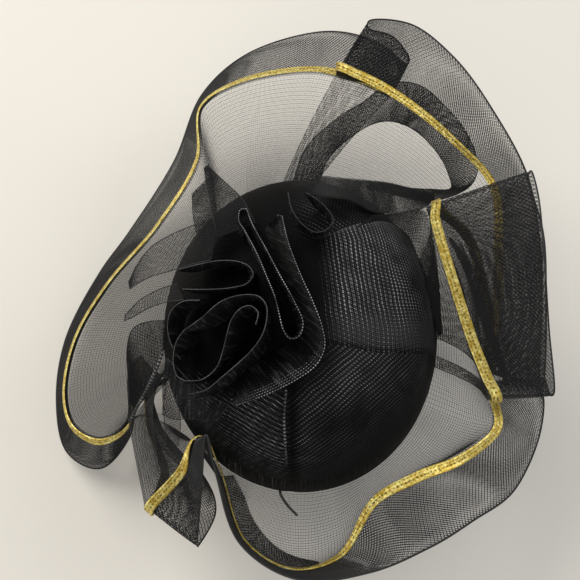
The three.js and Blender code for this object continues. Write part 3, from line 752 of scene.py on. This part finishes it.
def plain_finish(name, dark, light, roughness):
    """Smooth plastic, a little uneven in tone."""
    finish = Finish(name)
    tone = finish.blotches(TONE_PATCH) * 0.5 + 0.25
    return plastic(finish, tone, dark, light, roughness, 0.3)


def petal_finish(name, dark, light):
    """Mesh seen at a slant, streaked with painted sheen from its rim down to its foot."""
    finish = Finish(name)
    along, down = finish.map("band")
    bend = finish.blotches(0.02) * 2.0
    where = finish.node("ShaderNodeCombineXYZ", {}, {0: along / 0.0017 + bend, 1: down / 0.02}).out()
    # Painted sheen: the base colour is lighter in streaks running from the rim down, and in patches.
    streaks = finish.blotches(1.0, 3.0, where) * 4.2 - 2.1
    patches = finish.blotches(0.014) * 2.0 - 0.4
    shine = (streaks.at_least(0.0) * patches).at_most(1.0)
    return finish.close(
        Base_Color=finish.grey(shine.at_least(0.0), dark, light),
        Specular_IOR_Level=0.15,
        Roughness=0.6 - shine * 0.15,
    )


def cord_finish(name, dark, light, pitch):
    """Twisted cord, whose turns catch the light as a row of dots, clearer in some stretches."""
    finish = Finish(name)
    along, _ = finish.map("along")
    # Painted glints: the base colour is lighter at each turn of the twist, in dots that the blotches make
    # clearer in some stretches.
    dots = finish.waves(along / (pitch * MM)) ** 2.6
    shine = dots * (finish.blotches(0.011, 3.0) * 3.4 - 1.1)
    return finish.close(
        Base_Color=finish.grey(shine.at_least(0.0), dark, light),
        Specular_IOR_Level=0.3,
        Roughness=0.55 - dots * 0.15,
    )


def cloth_finish(name, dark, light, pitch):
    """Gathered mesh over black. Where its layers beat together they catch the light as dotted lines, which
    are painted into the base colour as highlights.
    """
    finish = Finish(name)
    across, along = finish.map("lines")
    sheen, rim = finish.map("sheen")
    drift = finish.blotches(CLOTH_FOLD) * 1.5 + finish.blotches(CLOTH_CRUMPLE, 1.0) * 0.5
    lines = finish.waves(across / pitch + drift)
    knots = finish.waves(across / KNOT_WIDTH + drift * 2.0) * finish.waves(
        along / KNOT_LENGTH + across / pitch)
    dots = finish.waves(along / CLOTH_DOT + across / pitch * 0.5 + drift) ** 1.5
    clouds = finish.blotches(TONE_PATCH, 3.0) * 2.6 - 0.7
    # Painted highlights: shine lightens the base colour along the lines, as strongly as the sheen map allows,
    # so a low sheen paints shade; the rim map adds a painted highlight.
    shine = (lines ** 2.4) * (knots ** 1.2 * 1.4 + 0.1) * (dots * 1.7 + 0.15)
    shine = shine * clouds.at_least(0.08).at_most(1.0) * sheen
    tone = shine + knots * (sheen * 0.1 + 0.02) + rim * (knots + 0.3)
    return finish.close(
        Base_Color=finish.grey(tone.at_most(1.0), dark, light),
        Specular_IOR_Level=0.03,
        Roughness=0.6 - shine * 0.2,
        Normal=finish.bump(lines * 0.3 + knots * 0.7, CLOTH_RELIEF, 0.4),
    )


def gold_finish(name, gold):
    """Flat metallic braid: two rows of dark openings in its middle, and fine slanting strands over all."""
    finish = Finish(name)
    along, across = finish.map("braid")
    wander = finish.blotches(GOLD_WANDER) - 0.5
    rows = finish.waves(across / ROW_PITCH - 0.32 + wander * 0.25)
    openings = (finish.waves(along / OPENING_PITCH + wander * 1.1) ** 2.2) * (rows ** 2.0)
    width = BRAID_WIDTH * MM
    openings = openings * across.maths("COMPARE", across, 0.5 * width, 0.3 * width)
    speck = finish.blotches(GOLD_SPECK)
    shade = openings * (finish.blotches(ROUGH_PATCH) * 2.6 + 0.1) + (speck - 0.5) * 3.2
    strands = finish.waves((along + across * 1.1) / STRAND_PITCH + wander)
    # Painted glints: where flare and sparkle are high, and on the ridges between the rows of openings, the
    # base colour turns to pale, a painted highlight colour.
    flare = finish.blotches(GOLD_FLARE) * 2.0 - 1.0
    sparkle = finish.blotches(GOLD_SPARKLE) * 3.0 - 1.0 + flare - rows * 0.3
    red, green, blue = gold[:3]
    deep = (red * 0.2, green * 0.2, blue * 0.2, 1)
    amber = (red * 0.8, green * 0.72, blue * 0.6, 1)
    pale = (min(red * 1.3, 1), min(green * 1.5, 1), blue * 3.2, 1)
    return finish.close(
        Base_Color=finish.mix(shade.held(), finish.mix(sparkle.held(), amber, pale), deep),
        Metallic=0.8,
        Roughness=finish.blotches(0.002) * 0.25 + 0.24,
        Normal=finish.bump(strands * 0.5 + (1 - openings) + speck * 0.4, GOLD_RELIEF, 0.9),
    )


def floor_finish(name, colour):
    """Plain floor, a little uneven in tone."""
    finish = Finish(name)
    pale = tuple(channel * 0.97 for channel in colour[:3]) + (1,)
    return finish.close(Base_Color=finish.mix(finish.blotches(0.4), colour, pale), Roughness=0.9)


# Properties

def length_setting(name, text, default, low):
    """Setting for a length, whose default and lowest value are in millimetres."""
    return bpy.props.FloatProperty(
        name=name, description=text, default=default * MM, min=low * MM, unit="LENGTH")


def colour_setting(name, text, default):
    return bpy.props.FloatVectorProperty(
        name=name, description=text, subtype="COLOR", size=4, min=0, max=1, default=default)


class HatSizes(bpy.types.PropertyGroup):
    web_pitch: length_setting(
        "Web pitch", "Distance between threads of the sheer web at the sewn line", 0.9, 0.4)
    web_thread: length_setting("Web thread", "Width of a thread of the sheer web", 0.15, 0.02)
    hem_pitch: length_setting("Hem pitch", "Distance between threads of the folded hem", 0.8, 0.4)
    hem_thread: length_setting("Hem thread", "Width of a thread of the folded hem", 0.2, 0.02)
    petal_pitch: length_setting("Petal pitch", "Distance between threads of the flower", 0.62, 0.3)
    petal_thread: length_setting("Petal thread", "Width of a thread of the flower", 0.26, 0.02)
    line_pitch: length_setting(
        "Line pitch", "Distance between the bright lines of the crown's cloth", 2.7, 0.5)
    floor_drop: length_setting("Floor drop", "How far the floor lies under the head opening", 66, 0)


class HatColours(bpy.types.PropertyGroup):
    gold: colour_setting("Gold", "Colour of the braid", (0.68, 0.52, 0.09, 1))
    floor: colour_setting("Floor", "Colour of the floor", (0.6, 0.575, 0.52, 1))


# Pieces

def dress(thing, material, slot, *nodes):
    """Gives a piece its material, and puts it in the place of its solids."""
    thing.data.materials.append(material)
    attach(thing, BODY)
    if nodes:
        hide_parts(*nodes)


class HAT_OT_stage(bpy.types.Operator):
    """Adds the floor, the lights and the camera"""

    bl_idname = "hat.stage"
    bl_label = "Add stage"

    def execute(self, context):
        scene = context.scene
        side = np.array([(-1, -1), (-1, 1), (1, 1), (1, -1)], float) * FLOOR_REACH
        ground = np.column_stack([side, np.full(4, -scene.hat_sizes.floor_drop / MM)])
        floor = add_mesh("floor", ground, [(0, 3, 2, 1)], smooth=False)
        floor.data.materials.append(floor_finish("floor_paper", tuple(scene.hat_colours.floor)))
        for name, place, size, power, colour in LAMPS:
            light = bpy.data.lights.new(name, "AREA")
            light.size = size
            light.energy = power
            light.color = colour
            lamp = bpy.data.objects.new(name, light)
            lamp.location = place
            x, y, z = place
            lamp.rotation_euler = (math.atan2(math.hypot(x, y), z), 0, math.atan2(-y, -x) - math.pi / 2)
            scene.collection.objects.link(lamp)
        world = bpy.data.worlds.new("studio")
        world.use_nodes = True
        sky = world.node_tree.nodes["Background"]
        sky.inputs["Color"].default_value = SKY_COLOUR
        sky.inputs["Strength"].default_value = SKY_STRENGTH
        scene.world = world
        lens = bpy.data.cameras.new("photo_camera")
        lens.lens = CAMERA_LENS
        lens.sensor_width = CAMERA_SENSOR
        camera = bpy.data.objects.new("photo_camera", lens)
        camera.location = CAMERA_PLACE
        camera.rotation_euler = (math.radians(CAMERA_TILT), 0, 0)
        scene.collection.objects.link(camera)
        scene.camera = camera
        scene.view_settings.view_transform = "Standard"
        return {"FINISHED"}


def dome_grid(columns, rows, outset, floor):
    """Points over the dome, from its pole to its rim, column by column."""
    turn = np.arange(columns) / columns * 2 * np.pi
    down = np.linspace(0.004, 1, rows)
    share = np.sin(down * np.pi / 2)
    x = share * np.cos(turn)[:, None] * (CROWN_HALF_WIDTH + outset)
    y = share * np.sin(turn)[:, None] * (CROWN_HALF_LENGTH + outset)
    z = np.broadcast_to(np.maximum(dome_height(share, CROWN_HEIGHT + outset), floor), x.shape)
    return np.stack([x, y, z], -1)


def unrolled(x, y):
    """A place of the dome's plan laid flat, so that distances down its side are kept."""
    share = plan_share(x, y)
    stretch = np.where(share > 1e-6, np.arcsin(np.clip(share, 0, 1)) / np.maximum(share, 1e-6), 1)
    return x * stretch, y * stretch


def cloth_maps(across, along, sheen, rim):
    """Maps for the crown's cloth: where its lines run, how bright their painted highlights are and how bright
    the painted highlight along its rim is.
    """
    return {
        "lines": np.stack([across * MM, along * MM], -1).reshape(-1, 2),
        "sheen": np.stack([sheen, rim], -1).reshape(-1, 2),
    }


class HAT_OT_crown(bpy.types.Operator):
    """Adds the stiff crown and the cloth gathered over it"""

    bl_idname = "hat.crown"
    bl_label = "Add crown"

    def execute(self, context):
        self.shell()
        finish = cloth_finish("crown_cloth_weave_and_sheen", 0.0015, 0.32, context.scene.hat_sizes.line_pitch)
        self.cloth(finish)
        self.raised_band(finish)
        return {"FINISHED"}

    def shell(self):
        columns, rows = 160, 40
        outer, inner = (dome_grid(columns, rows, outset, 0.4) for outset in (0, -CROWN_WALL))
        outer[:, -1, 2] = 0
        inner[:, -1, 2] = 0
        points = np.vstack([outer.reshape(-1, 3), inner.reshape(-1, 3)])
        below = columns * rows
        faces = [grid_faces(columns, rows, True), grid_faces(columns, rows, True, below)[:, ::-1]]
        ring = np.arange(columns) * rows + rows - 1
        beside = np.roll(ring, -1)
        faces.append(np.stack([ring, ring + below, beside + below, beside], -1))
        shell = add_mesh("crown_shell", points, np.vstack(faces))
        dress(shell, plain_finish("crown_shell_cloth", 0.006, 0.012, 0.6), "crown_mesh", "crown_cap")

    def cloth(self, finish):
        """The cloth over the whole crown, ribbed, pinched in at its seam and held close at the rim."""
        columns, rows = 480, 96
        cloth = dome_grid(columns, rows, DRAPE_OUTSET, 0.3)
        plan_x, plan_y = cloth[..., 0], cloth[..., 1]
        x, y = unrolled(plan_x, plan_y)
        aside = x - SEAM_X
        behind = y > 20 + 0.3 * x
        slope = np.where(aside > 0, RIB_SLOPE, LEFT_RIB_SLOPE)
        bent = BACK_RIB_SLOPE * x + BACK_RIB_BEND * x * x
        ribs = np.where(behind, y + bent, y - slope * np.abs(aside))
        down = np.where(behind, x - BACK_RIB_SLOPE * y, x + RIB_SLOPE * y)
        phase = ribs / RIB_PITCH
        saw = phase - np.floor(phase)
        crest = np.where(saw < RIB_LEAN, saw / RIB_LEAN, (1 - saw) / (1 - RIB_LEAN))
        near_seam = np.exp(-((aside / 24) ** 2)) * (y < -40)
        depth = RIB_DEPTH * (0.18 + 0.6 * near_seam)
        outward = unit(cloth / np.square((CROWN_HALF_WIDTH, CROWN_HALF_LENGTH, CROWN_HEIGHT)))
        front = smooth_step(36, 48, -y)
        hold = 1 - smooth_step(0.9, 0.995, plan_share(plan_x, plan_y, DRAPE_OUTSET))
        pinch = -PINCH_DEPTH * np.exp(-((aside / PINCH_WIDTH) ** 2)) * front
        rise = CLOTH_EASE + (depth * crest + pinch) * (0.15 + 0.85 * hold)
        cloth = cloth + outward * rise[..., None]

        # Painted light: sheen is how bright the cloth's painted highlight lines are, and where it is low it
        # paints shade: behind the raised band, round the flower, on the left, low and far on the right, in
        # the seam's valley and near the rim.
        from_flower = np.hypot(x - FLOWER_MIDDLE[0], (y - FLOWER_MIDDLE[1]) * 0.85)
        clear = smooth_step(FLOWER_REACH - 14, FLOWER_REACH + 6, from_flower)
        low_right_shade = smooth_step(45, 84, -y) * smooth_step(-2, 24, aside)
        left = smooth_step(16, 46, -x) * smooth_step(-60, -40, y)
        sheen = np.where(behind, 0.3 * smooth_step(-10, 10, x), 0.8 - 0.6 * low_right_shade) * (1 - left)
        sheen = sheen * np.maximum(clear, smooth_step(56, 66, -y))
        sheen = sheen * (1 - 0.9 * np.exp(-((aside - 2) / 6) ** 2) * front)
        sheen = sheen * (1 - 0.5 * smooth_step(30, 62, aside)) * (0.2 + 0.8 * hold)
        maps = cloth_maps(ribs * 0.8, down, sheen, np.zeros_like(sheen))
        drape = add_mesh("crown_cloth", cloth.reshape(-1, 3), grid_faces(columns, rows, True), maps)
        dress(drape, finish, "crown_mesh", "crown_drape")

    def raised_band(self, finish):
        """The swath of cloth that lies raised between two folds, with a round front edge."""
        steps, width = 220, 90
        place = np.linspace(0, len(FOLD_BACK) - 1, steps)
        upper = through(FOLD_BACK, False, place)[:, None]
        lower = through(FOLD_FRONT, False, place)[:, None]
        across = np.linspace(0, 1, width)[None, :]
        plan = upper + (lower - upper) * across[..., None]
        roll = smooth_step(0.7, 0.9, across)
        rise = (1 - np.abs(2 * across - 1) ** 8) * (1 + 0.5 * roll)
        lift = DRAPE_OUTSET + CLOTH_EASE + 2.0 * rise
        share = plan_share(plan[..., 0], plan[..., 1], lift)
        plan = plan * (np.minimum(share, 0.998) / share)[..., None]
        band = dome_point(plan[..., 0], plan[..., 1], lift)
        flat_x, flat_y = unrolled(plan[..., 0], plan[..., 1])
        lean = 0.12 + 0.2 * smooth_step(35, 80, flat_x)
        # Painted light: the band's highlight lines fade out near the flower, on its front roll and towards
        # its right end, and the rim map paints a thin highlight along the back fold and a faint glow on the
        # front roll.
        clear = smooth_step(8, 24, flat_x)
        glow = 0.1 * roll * (1 - smooth_step(0.95, 1.0, across))
        sheen = clear * (1 - 0.75 * roll) * (1 - 0.4 * smooth_step(45, 80, flat_x))
        rim = (0.35 * np.exp(-across / 0.012) + glow) * clear
        maps = cloth_maps(flat_x + lean * (flat_y - 10), flat_y - lean * flat_x, sheen, rim)
        swath = add_mesh("crown_band", band.reshape(-1, 3), grid_faces(steps, width), maps)
        dress(swath, finish, "crown_mesh")


class HAT_OT_brim(bpy.types.Operator):
    """Adds the sheer web, the doubled hem and the cord in its outer edge"""

    bl_idname = "hat.brim"
    bl_label = "Add brim"

    def execute(self, context):
        sizes = context.scene.hat_sizes
        shape = BrimShape()
        self.web(shape, sizes.web_pitch / MM, sizes.web_thread / MM)
        pitch = sizes.hem_pitch / MM
        width = sizes.hem_thread / MM
        finish = thread_finish("hem_thread", 0.008, 0.02, 0.4)
        self.hem(shape, pitch, width, finish)
        path = shape.point(shape.evenly(2, 1400), 3)
        points, faces, _ = tube(path, EDGE_CORD_RADIUS, closed=True)
        dress(add_mesh("brim_edge", points, faces), plain_finish("edge_cord", 0.006, 0.012, 0.5), "brim_mesh")
        edged_band("under_loop", UNDER_LOOP, pitch * 0.8, width * 1.1, (0.4, -0.4), finish, "brim_mesh",
                   "under_loop", ["brim_web"], cord_finish("loop_cord", 0.006, 0.03, 1.4), 0.3)
        return {"FINISHED"}

    def web(self, shape, pitch, width):
        """Threads from the crown to the sewn line, and rings of them round it."""
        length = shape.lengths[1][-1]
        spokes = int(length / pitch)
        places = shape.evenly(1, spokes)[:, None]
        across = np.concatenate([[0.0], np.linspace(1, 2, 9)])[None, :]
        radial = ribbons(shape.point(places, across), shape.normal(places, across), width)
        rings = int(WEB_WIDTH / pitch)
        level = 1 + (np.arange(rings) + 0.5)[:, None] / rings
        ways = shape.evenly(1, 900)[None, :]
        circles = ribbons(shape.point(ways, level), shape.normal(ways, level), width, closed=True)
        points, faces, _ = join([radial, circles])
        bake = thread_maps([radial, circles], [spokes, rings])
        web = add_mesh("brim_web", points, faces, {"OFBake": bake})
        dress(web, thread_finish("brim_thread", 0.010, 0.022, 0.42), "brim_mesh", "brim")

    def hem(self, shape, pitch, width, finish):
        """Two layers of threads that slant both ways, and meet at the outer edge."""
        length = (shape.lengths[1][-1] + shape.lengths[2][-1]) / 2
        count = int(length / math.sqrt(2) / pitch)
        reach = np.linspace(0, 1, 15)[None, :]
        parts = []
        for layer, offset in enumerate((HEM_LIFT, -HEM_LIFT)):
            for way in (1, -1):
                share = (np.arange(count)[:, None] + 0.5 * layer) / count + way * reach * HEM_DEPTH / length
                places = shape.place_at(1, share) * (1 - reach) + shape.place_at(2, share) * reach
                up = shape.normal(places, 2 + reach)
                lift = offset * (1 - reach ** 8)[..., None]
                parts.append(ribbons(shape.point(places, 2 + reach) + up * lift, up, width, flip=way > 0))
        points, faces, _ = join(parts)
        hem = add_mesh("brim_hem", points, faces, {"OFBake": thread_maps(parts, [count] * len(parts))})
        dress(hem, finish, "brim_mesh", "brim")


class HAT_OT_braid(bpy.types.Operator):
    """Adds the gold braid along the sewn line"""

    bl_idname = "hat.braid"
    bl_label = "Add gold braid"

    def execute(self, context):
        shape = BrimShape()
        count = int(shape.lengths[1][-1] / BRAID_STEP)
        places = shape.evenly(1, count)
        sewn = shape.point(places, 2)
        along = unit(np.roll(sewn, -1, 0) - np.roll(sewn, 1, 0))
        webward = unit(sewn - shape.point(places, 1.9))
        outward = unit(shape.point(places, 2.5) - sewn)
        outward = unit(outward - along * np.sum(outward * along, -1, keepdims=True))
        web_normal = unit(np.cross(webward, along))
        normal = unit(np.cross(outward, along))
        folds = np.arccos(np.clip(np.sum(webward * outward, -1), -1, 1))
        folds = np.where(np.sum(outward * web_normal, -1) > 0, folds, 0)
        lift = BRIM_WALL / 2 + BRAID_GAP
        starts = (lift + BRAID_WALL) * np.tan(np.minimum(folds, STEEPEST_FOLD) / 2)
        near = int(BRAID_EASE / BRAID_STEP)
        eased = np.max([np.roll(starts, k) for k in range(-near, near + 1)], 0)
        eased = np.mean([np.roll(eased, k) for k in range(-near, near + 1)], 0)
        profile = BRAID_PROFILE + BRAID_PROFILE[:1]
        rows = []
        for over, height in profile:
            reach = eased + over * BRAID_WIDTH
            rows.append(sewn + outward * reach[:, None] + normal * (lift + height * BRAID_WALL))
        grid = np.stack(rows, 1)
        far = lengths_along(sewn)
        reach = np.array([over for over, _ in profile]) * BRAID_WIDTH
        spots = np.stack(np.broadcast_arrays(far[:, None] * MM, reach[None, :] * MM), -1)
        braid = add_mesh("braid", grid.reshape(-1, 3), grid_faces(count, len(rows), True),
                         {"braid": spots.reshape(-1, 2)})
        gold = tuple(context.scene.hat_colours.gold)
        dress(braid, gold_finish("gold_braid_weave_and_glints", gold), "gold_braid", "gold_braid")
        return {"FINISHED"}


def band_threads(upper, lower, pitch, width, layers, taper):
    """Slanting threads of a band between two smooth edges, in one or more layers. taper is the share of
    its length over which it narrows towards each end.

    Returns groups of threads, how many each has, and every point's place along the band and down it."""
    fine = np.linspace(0, len(upper) - 1, 400)
    top = through(upper, False, fine)
    far = lengths_along(top)
    length = far[-1]

    def spot(share, down):
        share = np.clip(share, 0, 1)
        place = np.interp(share * length, far, fine)
        high = through(upper, False, place)
        low = through(lower, False, place)
        full = smooth_step(-0.3 * taper, taper, np.minimum(share, 1 - share)) if taper else 1.0
        return high + (low - high) * (down * full)[..., None]

    depth = float(np.mean(np.linalg.norm(top - through(lower, False, fine), axis=1)))
    slant = depth / length
    count = int(length * (1 + slant) / math.sqrt(2) / pitch)
    parts, spots = [], []
    for layer in layers:
        for way in (1, -1):
            start = np.linspace(-slant, 1 + slant, count)[:, None]
            down = np.linspace(0, 1, 9)[None, :]
            inside = np.clip(start + way * (down - 0.5) * slant, 0, 1)
            down = np.broadcast_to(down, inside.shape)
            beside = spot(inside + 0.004, down) - spot(inside - 0.004, down)
            below = spot(inside, down + 0.02) - spot(inside, down - 0.02)
            up = unit(np.cross(beside, below))
            parts.append(ribbons(spot(inside, down) + up * layer, up, width, flip=way > 0))
            spots.append(np.repeat(np.stack([inside * length, down * depth], -1).reshape(-1, 2), 2, 0))
    return parts, count, np.vstack(spots)


def mesh_band(name, upper, lower, pitch, width, layers, finish, slot, node, rests_on, taper=0):
    """Adds a band of slanting threads between two edges, as a piece. The area that it states is measured on
    these same threads, so it can't show whether they were stretched. Nothing here shows whether its threads
    were stretched."""
    parts, count, spots = band_threads(upper, lower, pitch, width, layers, taper)
    points, faces, _ = join(parts)
    maps = {"OFBake": thread_maps(parts, [count] * len(parts)), "band": spots * MM}
    band = add_mesh(name, points, faces, maps)
    dress(band, finish, slot, *([node] if node else []))
    fine = np.linspace(0, len(upper) - 1, 400)
    top, foot = (through(edge, False, fine) for edge in (upper, lower))
    depth = max(np.mean(np.linalg.norm(top - foot, axis=1)) * len(layers), 10)


def beaded_cord(rail, height, radius, pitch):
    """Fine twisted cord along a rail, swelling at each turn of its twist."""
    fine = np.linspace(0, len(rail) - 1, 600)
    far = lengths_along(through(rail, False, fine))
    steps = int(far[-1] / (pitch / 4))
    places = np.interp(np.linspace(0, far[-1], steps), far, fine)
    path = through(rail, False, places) + (0, 0, height)
    swell = 1 + 0.22 * np.cos(np.arange(steps) / 4 * 2 * np.pi)
    return tube(path, radius * swell, sides=5)


def add_cords(name, cords, finish, slot):
    """Adds cords as one piece, with a map of how far along its cord each point lies."""
    points, faces, marks = join(cords)
    cord = add_mesh(name, points, faces, {"along": np.stack([marks[:, 1] * MM, marks[:, 2]], -1)})
    dress(cord, finish, slot)


def edged_band(name, rows, pitch, width, layers, finish, slot, node, rests_on, cord, radius):
    """Adds a band of threads between two edges, with a cord along each edge where there is a radius."""
    rails = [[row[side] for row in rows] for side in (0, 1)]
    mesh_band(name + "_mesh", *rails, pitch, width, layers, finish, slot, node, rests_on)
    if radius:
        add_cords(name + "_cord", [beaded_cord(rail, 0, radius, EDGE_PITCH) for rail in rails], cord, slot)


class HAT_OT_flower(bpy.types.Operator):
    """Adds the petals and leaves of folded mesh with their corded edges"""

    bl_idname = "hat.flower"
    bl_label = "Add flower"

    def execute(self, context):
        sizes = context.scene.hat_sizes
        pitch = sizes.petal_pitch / MM
        width = sizes.petal_thread / MM
        self.petals(pitch, width)
        sheer = thread_finish("leaf_thread", 0.006, 0.014, 0.5, 0.25)
        # The skirt's finish paints brighter sheen than the petals'. The pleat's fold is nearly closed mesh,
        # and its finish is darker than the other folds', which paints the shade in that crease.
        special = {
            "skirt_left": petal_finish("skirt_thread", 0.004, 0.16),
            "pleat_fold": plain_finish("fold_thread", 0.001, 0.004, 0.7),
        }
        cord = cord_finish("leaf_cord", 0.01, 0.05, EDGE_PITCH)
        pitch = pitch * 0.95
        for name, rows in LEAVES.items():
            layers = (0.4, -0.4) if name == "leaf_low" else (0.0,)
            edged_band(name, rows, pitch, width * 0.62, layers, sheer, "flower_mesh", name, ["brim_web"],
                       cord, 0.28)
        for name, rows in SHEER_FOLDS.items():
            dense = DENSE_FOLDS.get(name, 1)
            layers = (0.0,) if name == "blade_low" else (0.5, -0.5)
            edged_band(name, rows, pitch, width * 0.55 * dense, layers, special.get(name, sheer),
                       "flower_mesh", None, ["crown_cloth", "brim_web"], cord,
                       0.22 if dense < UNCORDED else None)
        twisted = cord_finish("seam_rope", 0.004, 0.2, 2)
        seam = [self.on_drape(x, y) for x, y in SEAM_ROPE]
        add_cords("seam_cord", [beaded_cord(seam, -0.6, 0.7, 2)], twisted, "crown_mesh")
        add_cords("leaf_selvedge", [beaded_cord(SELVEDGE, 0, 0.9, 1.8)], twisted, "flower_mesh")
        return {"FINISHED"}

    def petals(self, pitch, width):
        """Each petal has an outer and an inner layer, which meet at its corded rim."""
        threads = petal_finish("petal_thread", 0.0045, 0.09)
        # The cords' dots are painted glints, bright on the dotted cords, dimmer on the plain ones and faint
        # on the back petal's.
        dotted = cord_finish("dotted_cord", 0.006, 0.46, DOT_PITCH)
        plain = cord_finish("plain_cord", 0.014, 0.22, 0.9)
        faint = cord_finish("faint_cord", 0.012, 0.06, 1.25)
        for name, rows in (PETALS | PETAL_TURNS).items():
            taper, thick = (PETAL_TAPER, width) if name in PETALS else (0, width * 0.65)
            inner_lean, count, is_dotted = PETAL_FACES[name]
            rim = [row[0] for row in rows]
            foot = [self.on_drape(x + lean[0], y + lean[1]) for (x, y, _), lean in rows]
            inside = [self.on_drape(x + inner_lean[0], y + inner_lean[1]) for (x, y, _), _ in rows]
            node = name if name in PETALS else None
            for part, low, layer, place in (("_mesh", foot, 0.3, node), ("_lining", inside, 0.2, None)):
                mesh_band(name + part, rim, low, pitch, thick, (layer, -layer), threads, "flower_mesh",
                          place, ["crown_cloth"], taper)
            cords = []
            for k in range(count):
                rail = []
                for high, low in zip(rim, inside):
                    way = np.subtract(low, high)
                    rail.append(np.add(high, way / np.linalg.norm(way) * ROW_STEP * k))
                cords.append(beaded_cord(rail, 0.25, 0.18 - 0.02 * k, DOT_PITCH))
            corded = faint if name == "petal_back" else dotted if is_dotted else plain
            add_cords(name + "_cord", cords, corded, "flower_mesh")

    def on_drape(self, x, y):
        """Point just clear of the crown's cloth."""
        spot = dome_point(np.float64(x), np.float64(y), DRAPE_TOP)
        return (spot[0], spot[1], spot[2] + PETAL_CLEAR)


class HAT_OT_thread(bpy.types.Operator):
    """Adds the loose end of sewing thread at the crown's front rim"""

    bl_idname = "hat.thread"
    bl_label = "Add loose thread"

    def execute(self, context):
        spots = np.arange(THREAD_STEPS + 1) / THREAD_STEPS * (len(LOOSE_THREAD) - 1)
        path = through(LOOSE_THREAD, False, spots) * MM
        curve = bpy.data.curves.new("loose_thread", "CURVE")
        curve.dimensions = "3D"
        curve.bevel_depth = THREAD_DIAMETER / 2 * MM
        curve.bevel_resolution = 2
        spline = curve.splines.new("POLY")
        spline.points.add(len(path) - 1)
        for point, place in zip(spline.points, path):
            point.co = (*place, 1)
        thread = bpy.data.objects.new("loose_thread", curve)
        context.scene.collection.objects.link(thread)
        dress(thread, plain_finish("sewing_thread", 0.006, 0.02, 0.5), "crown_mesh")
        return {"FINISHED"}


class HAT_PT_panel(bpy.types.Panel):
    """Lists the hat's pieces and sizes"""

    bl_label = "Dress Hat"
    bl_idname = "HAT_PT_panel"
    bl_space_type = "VIEW_3D"
    bl_region_type = "UI"
    bl_category = "Dress Hat"

    def draw(self, context):
        for group in (context.scene.hat_sizes, context.scene.hat_colours):
            for name in group.__annotations__:
                self.layout.prop(group, name)
        for operator in OPERATORS:
            self.layout.operator(operator.bl_idname)


OPERATORS = (
    HAT_OT_stage, HAT_OT_thread, HAT_OT_crown, HAT_OT_brim, HAT_OT_braid, HAT_OT_flower,
)
CLASSES = (HatSizes, HatColours, *OPERATORS, HAT_PT_panel)


def register():
    for item in CLASSES:
        bpy.utils.register_class(item)
    bpy.types.Scene.hat_sizes = bpy.props.PointerProperty(type=HatSizes)
    bpy.types.Scene.hat_colours = bpy.props.PointerProperty(type=HatColours)


def unregister():
    del bpy.types.Scene.hat_colours
    del bpy.types.Scene.hat_sizes
    for item in reversed(CLASSES):
        bpy.utils.unregister_class(item)


def main():
    register()
    bpy.ops.hat.stage()
    bpy.ops.hat.thread()
    bpy.ops.hat.crown()
    bpy.ops.hat.brim()
    bpy.ops.hat.braid()
    bpy.ops.hat.flower()


if __name__ == "__main__":
    main()
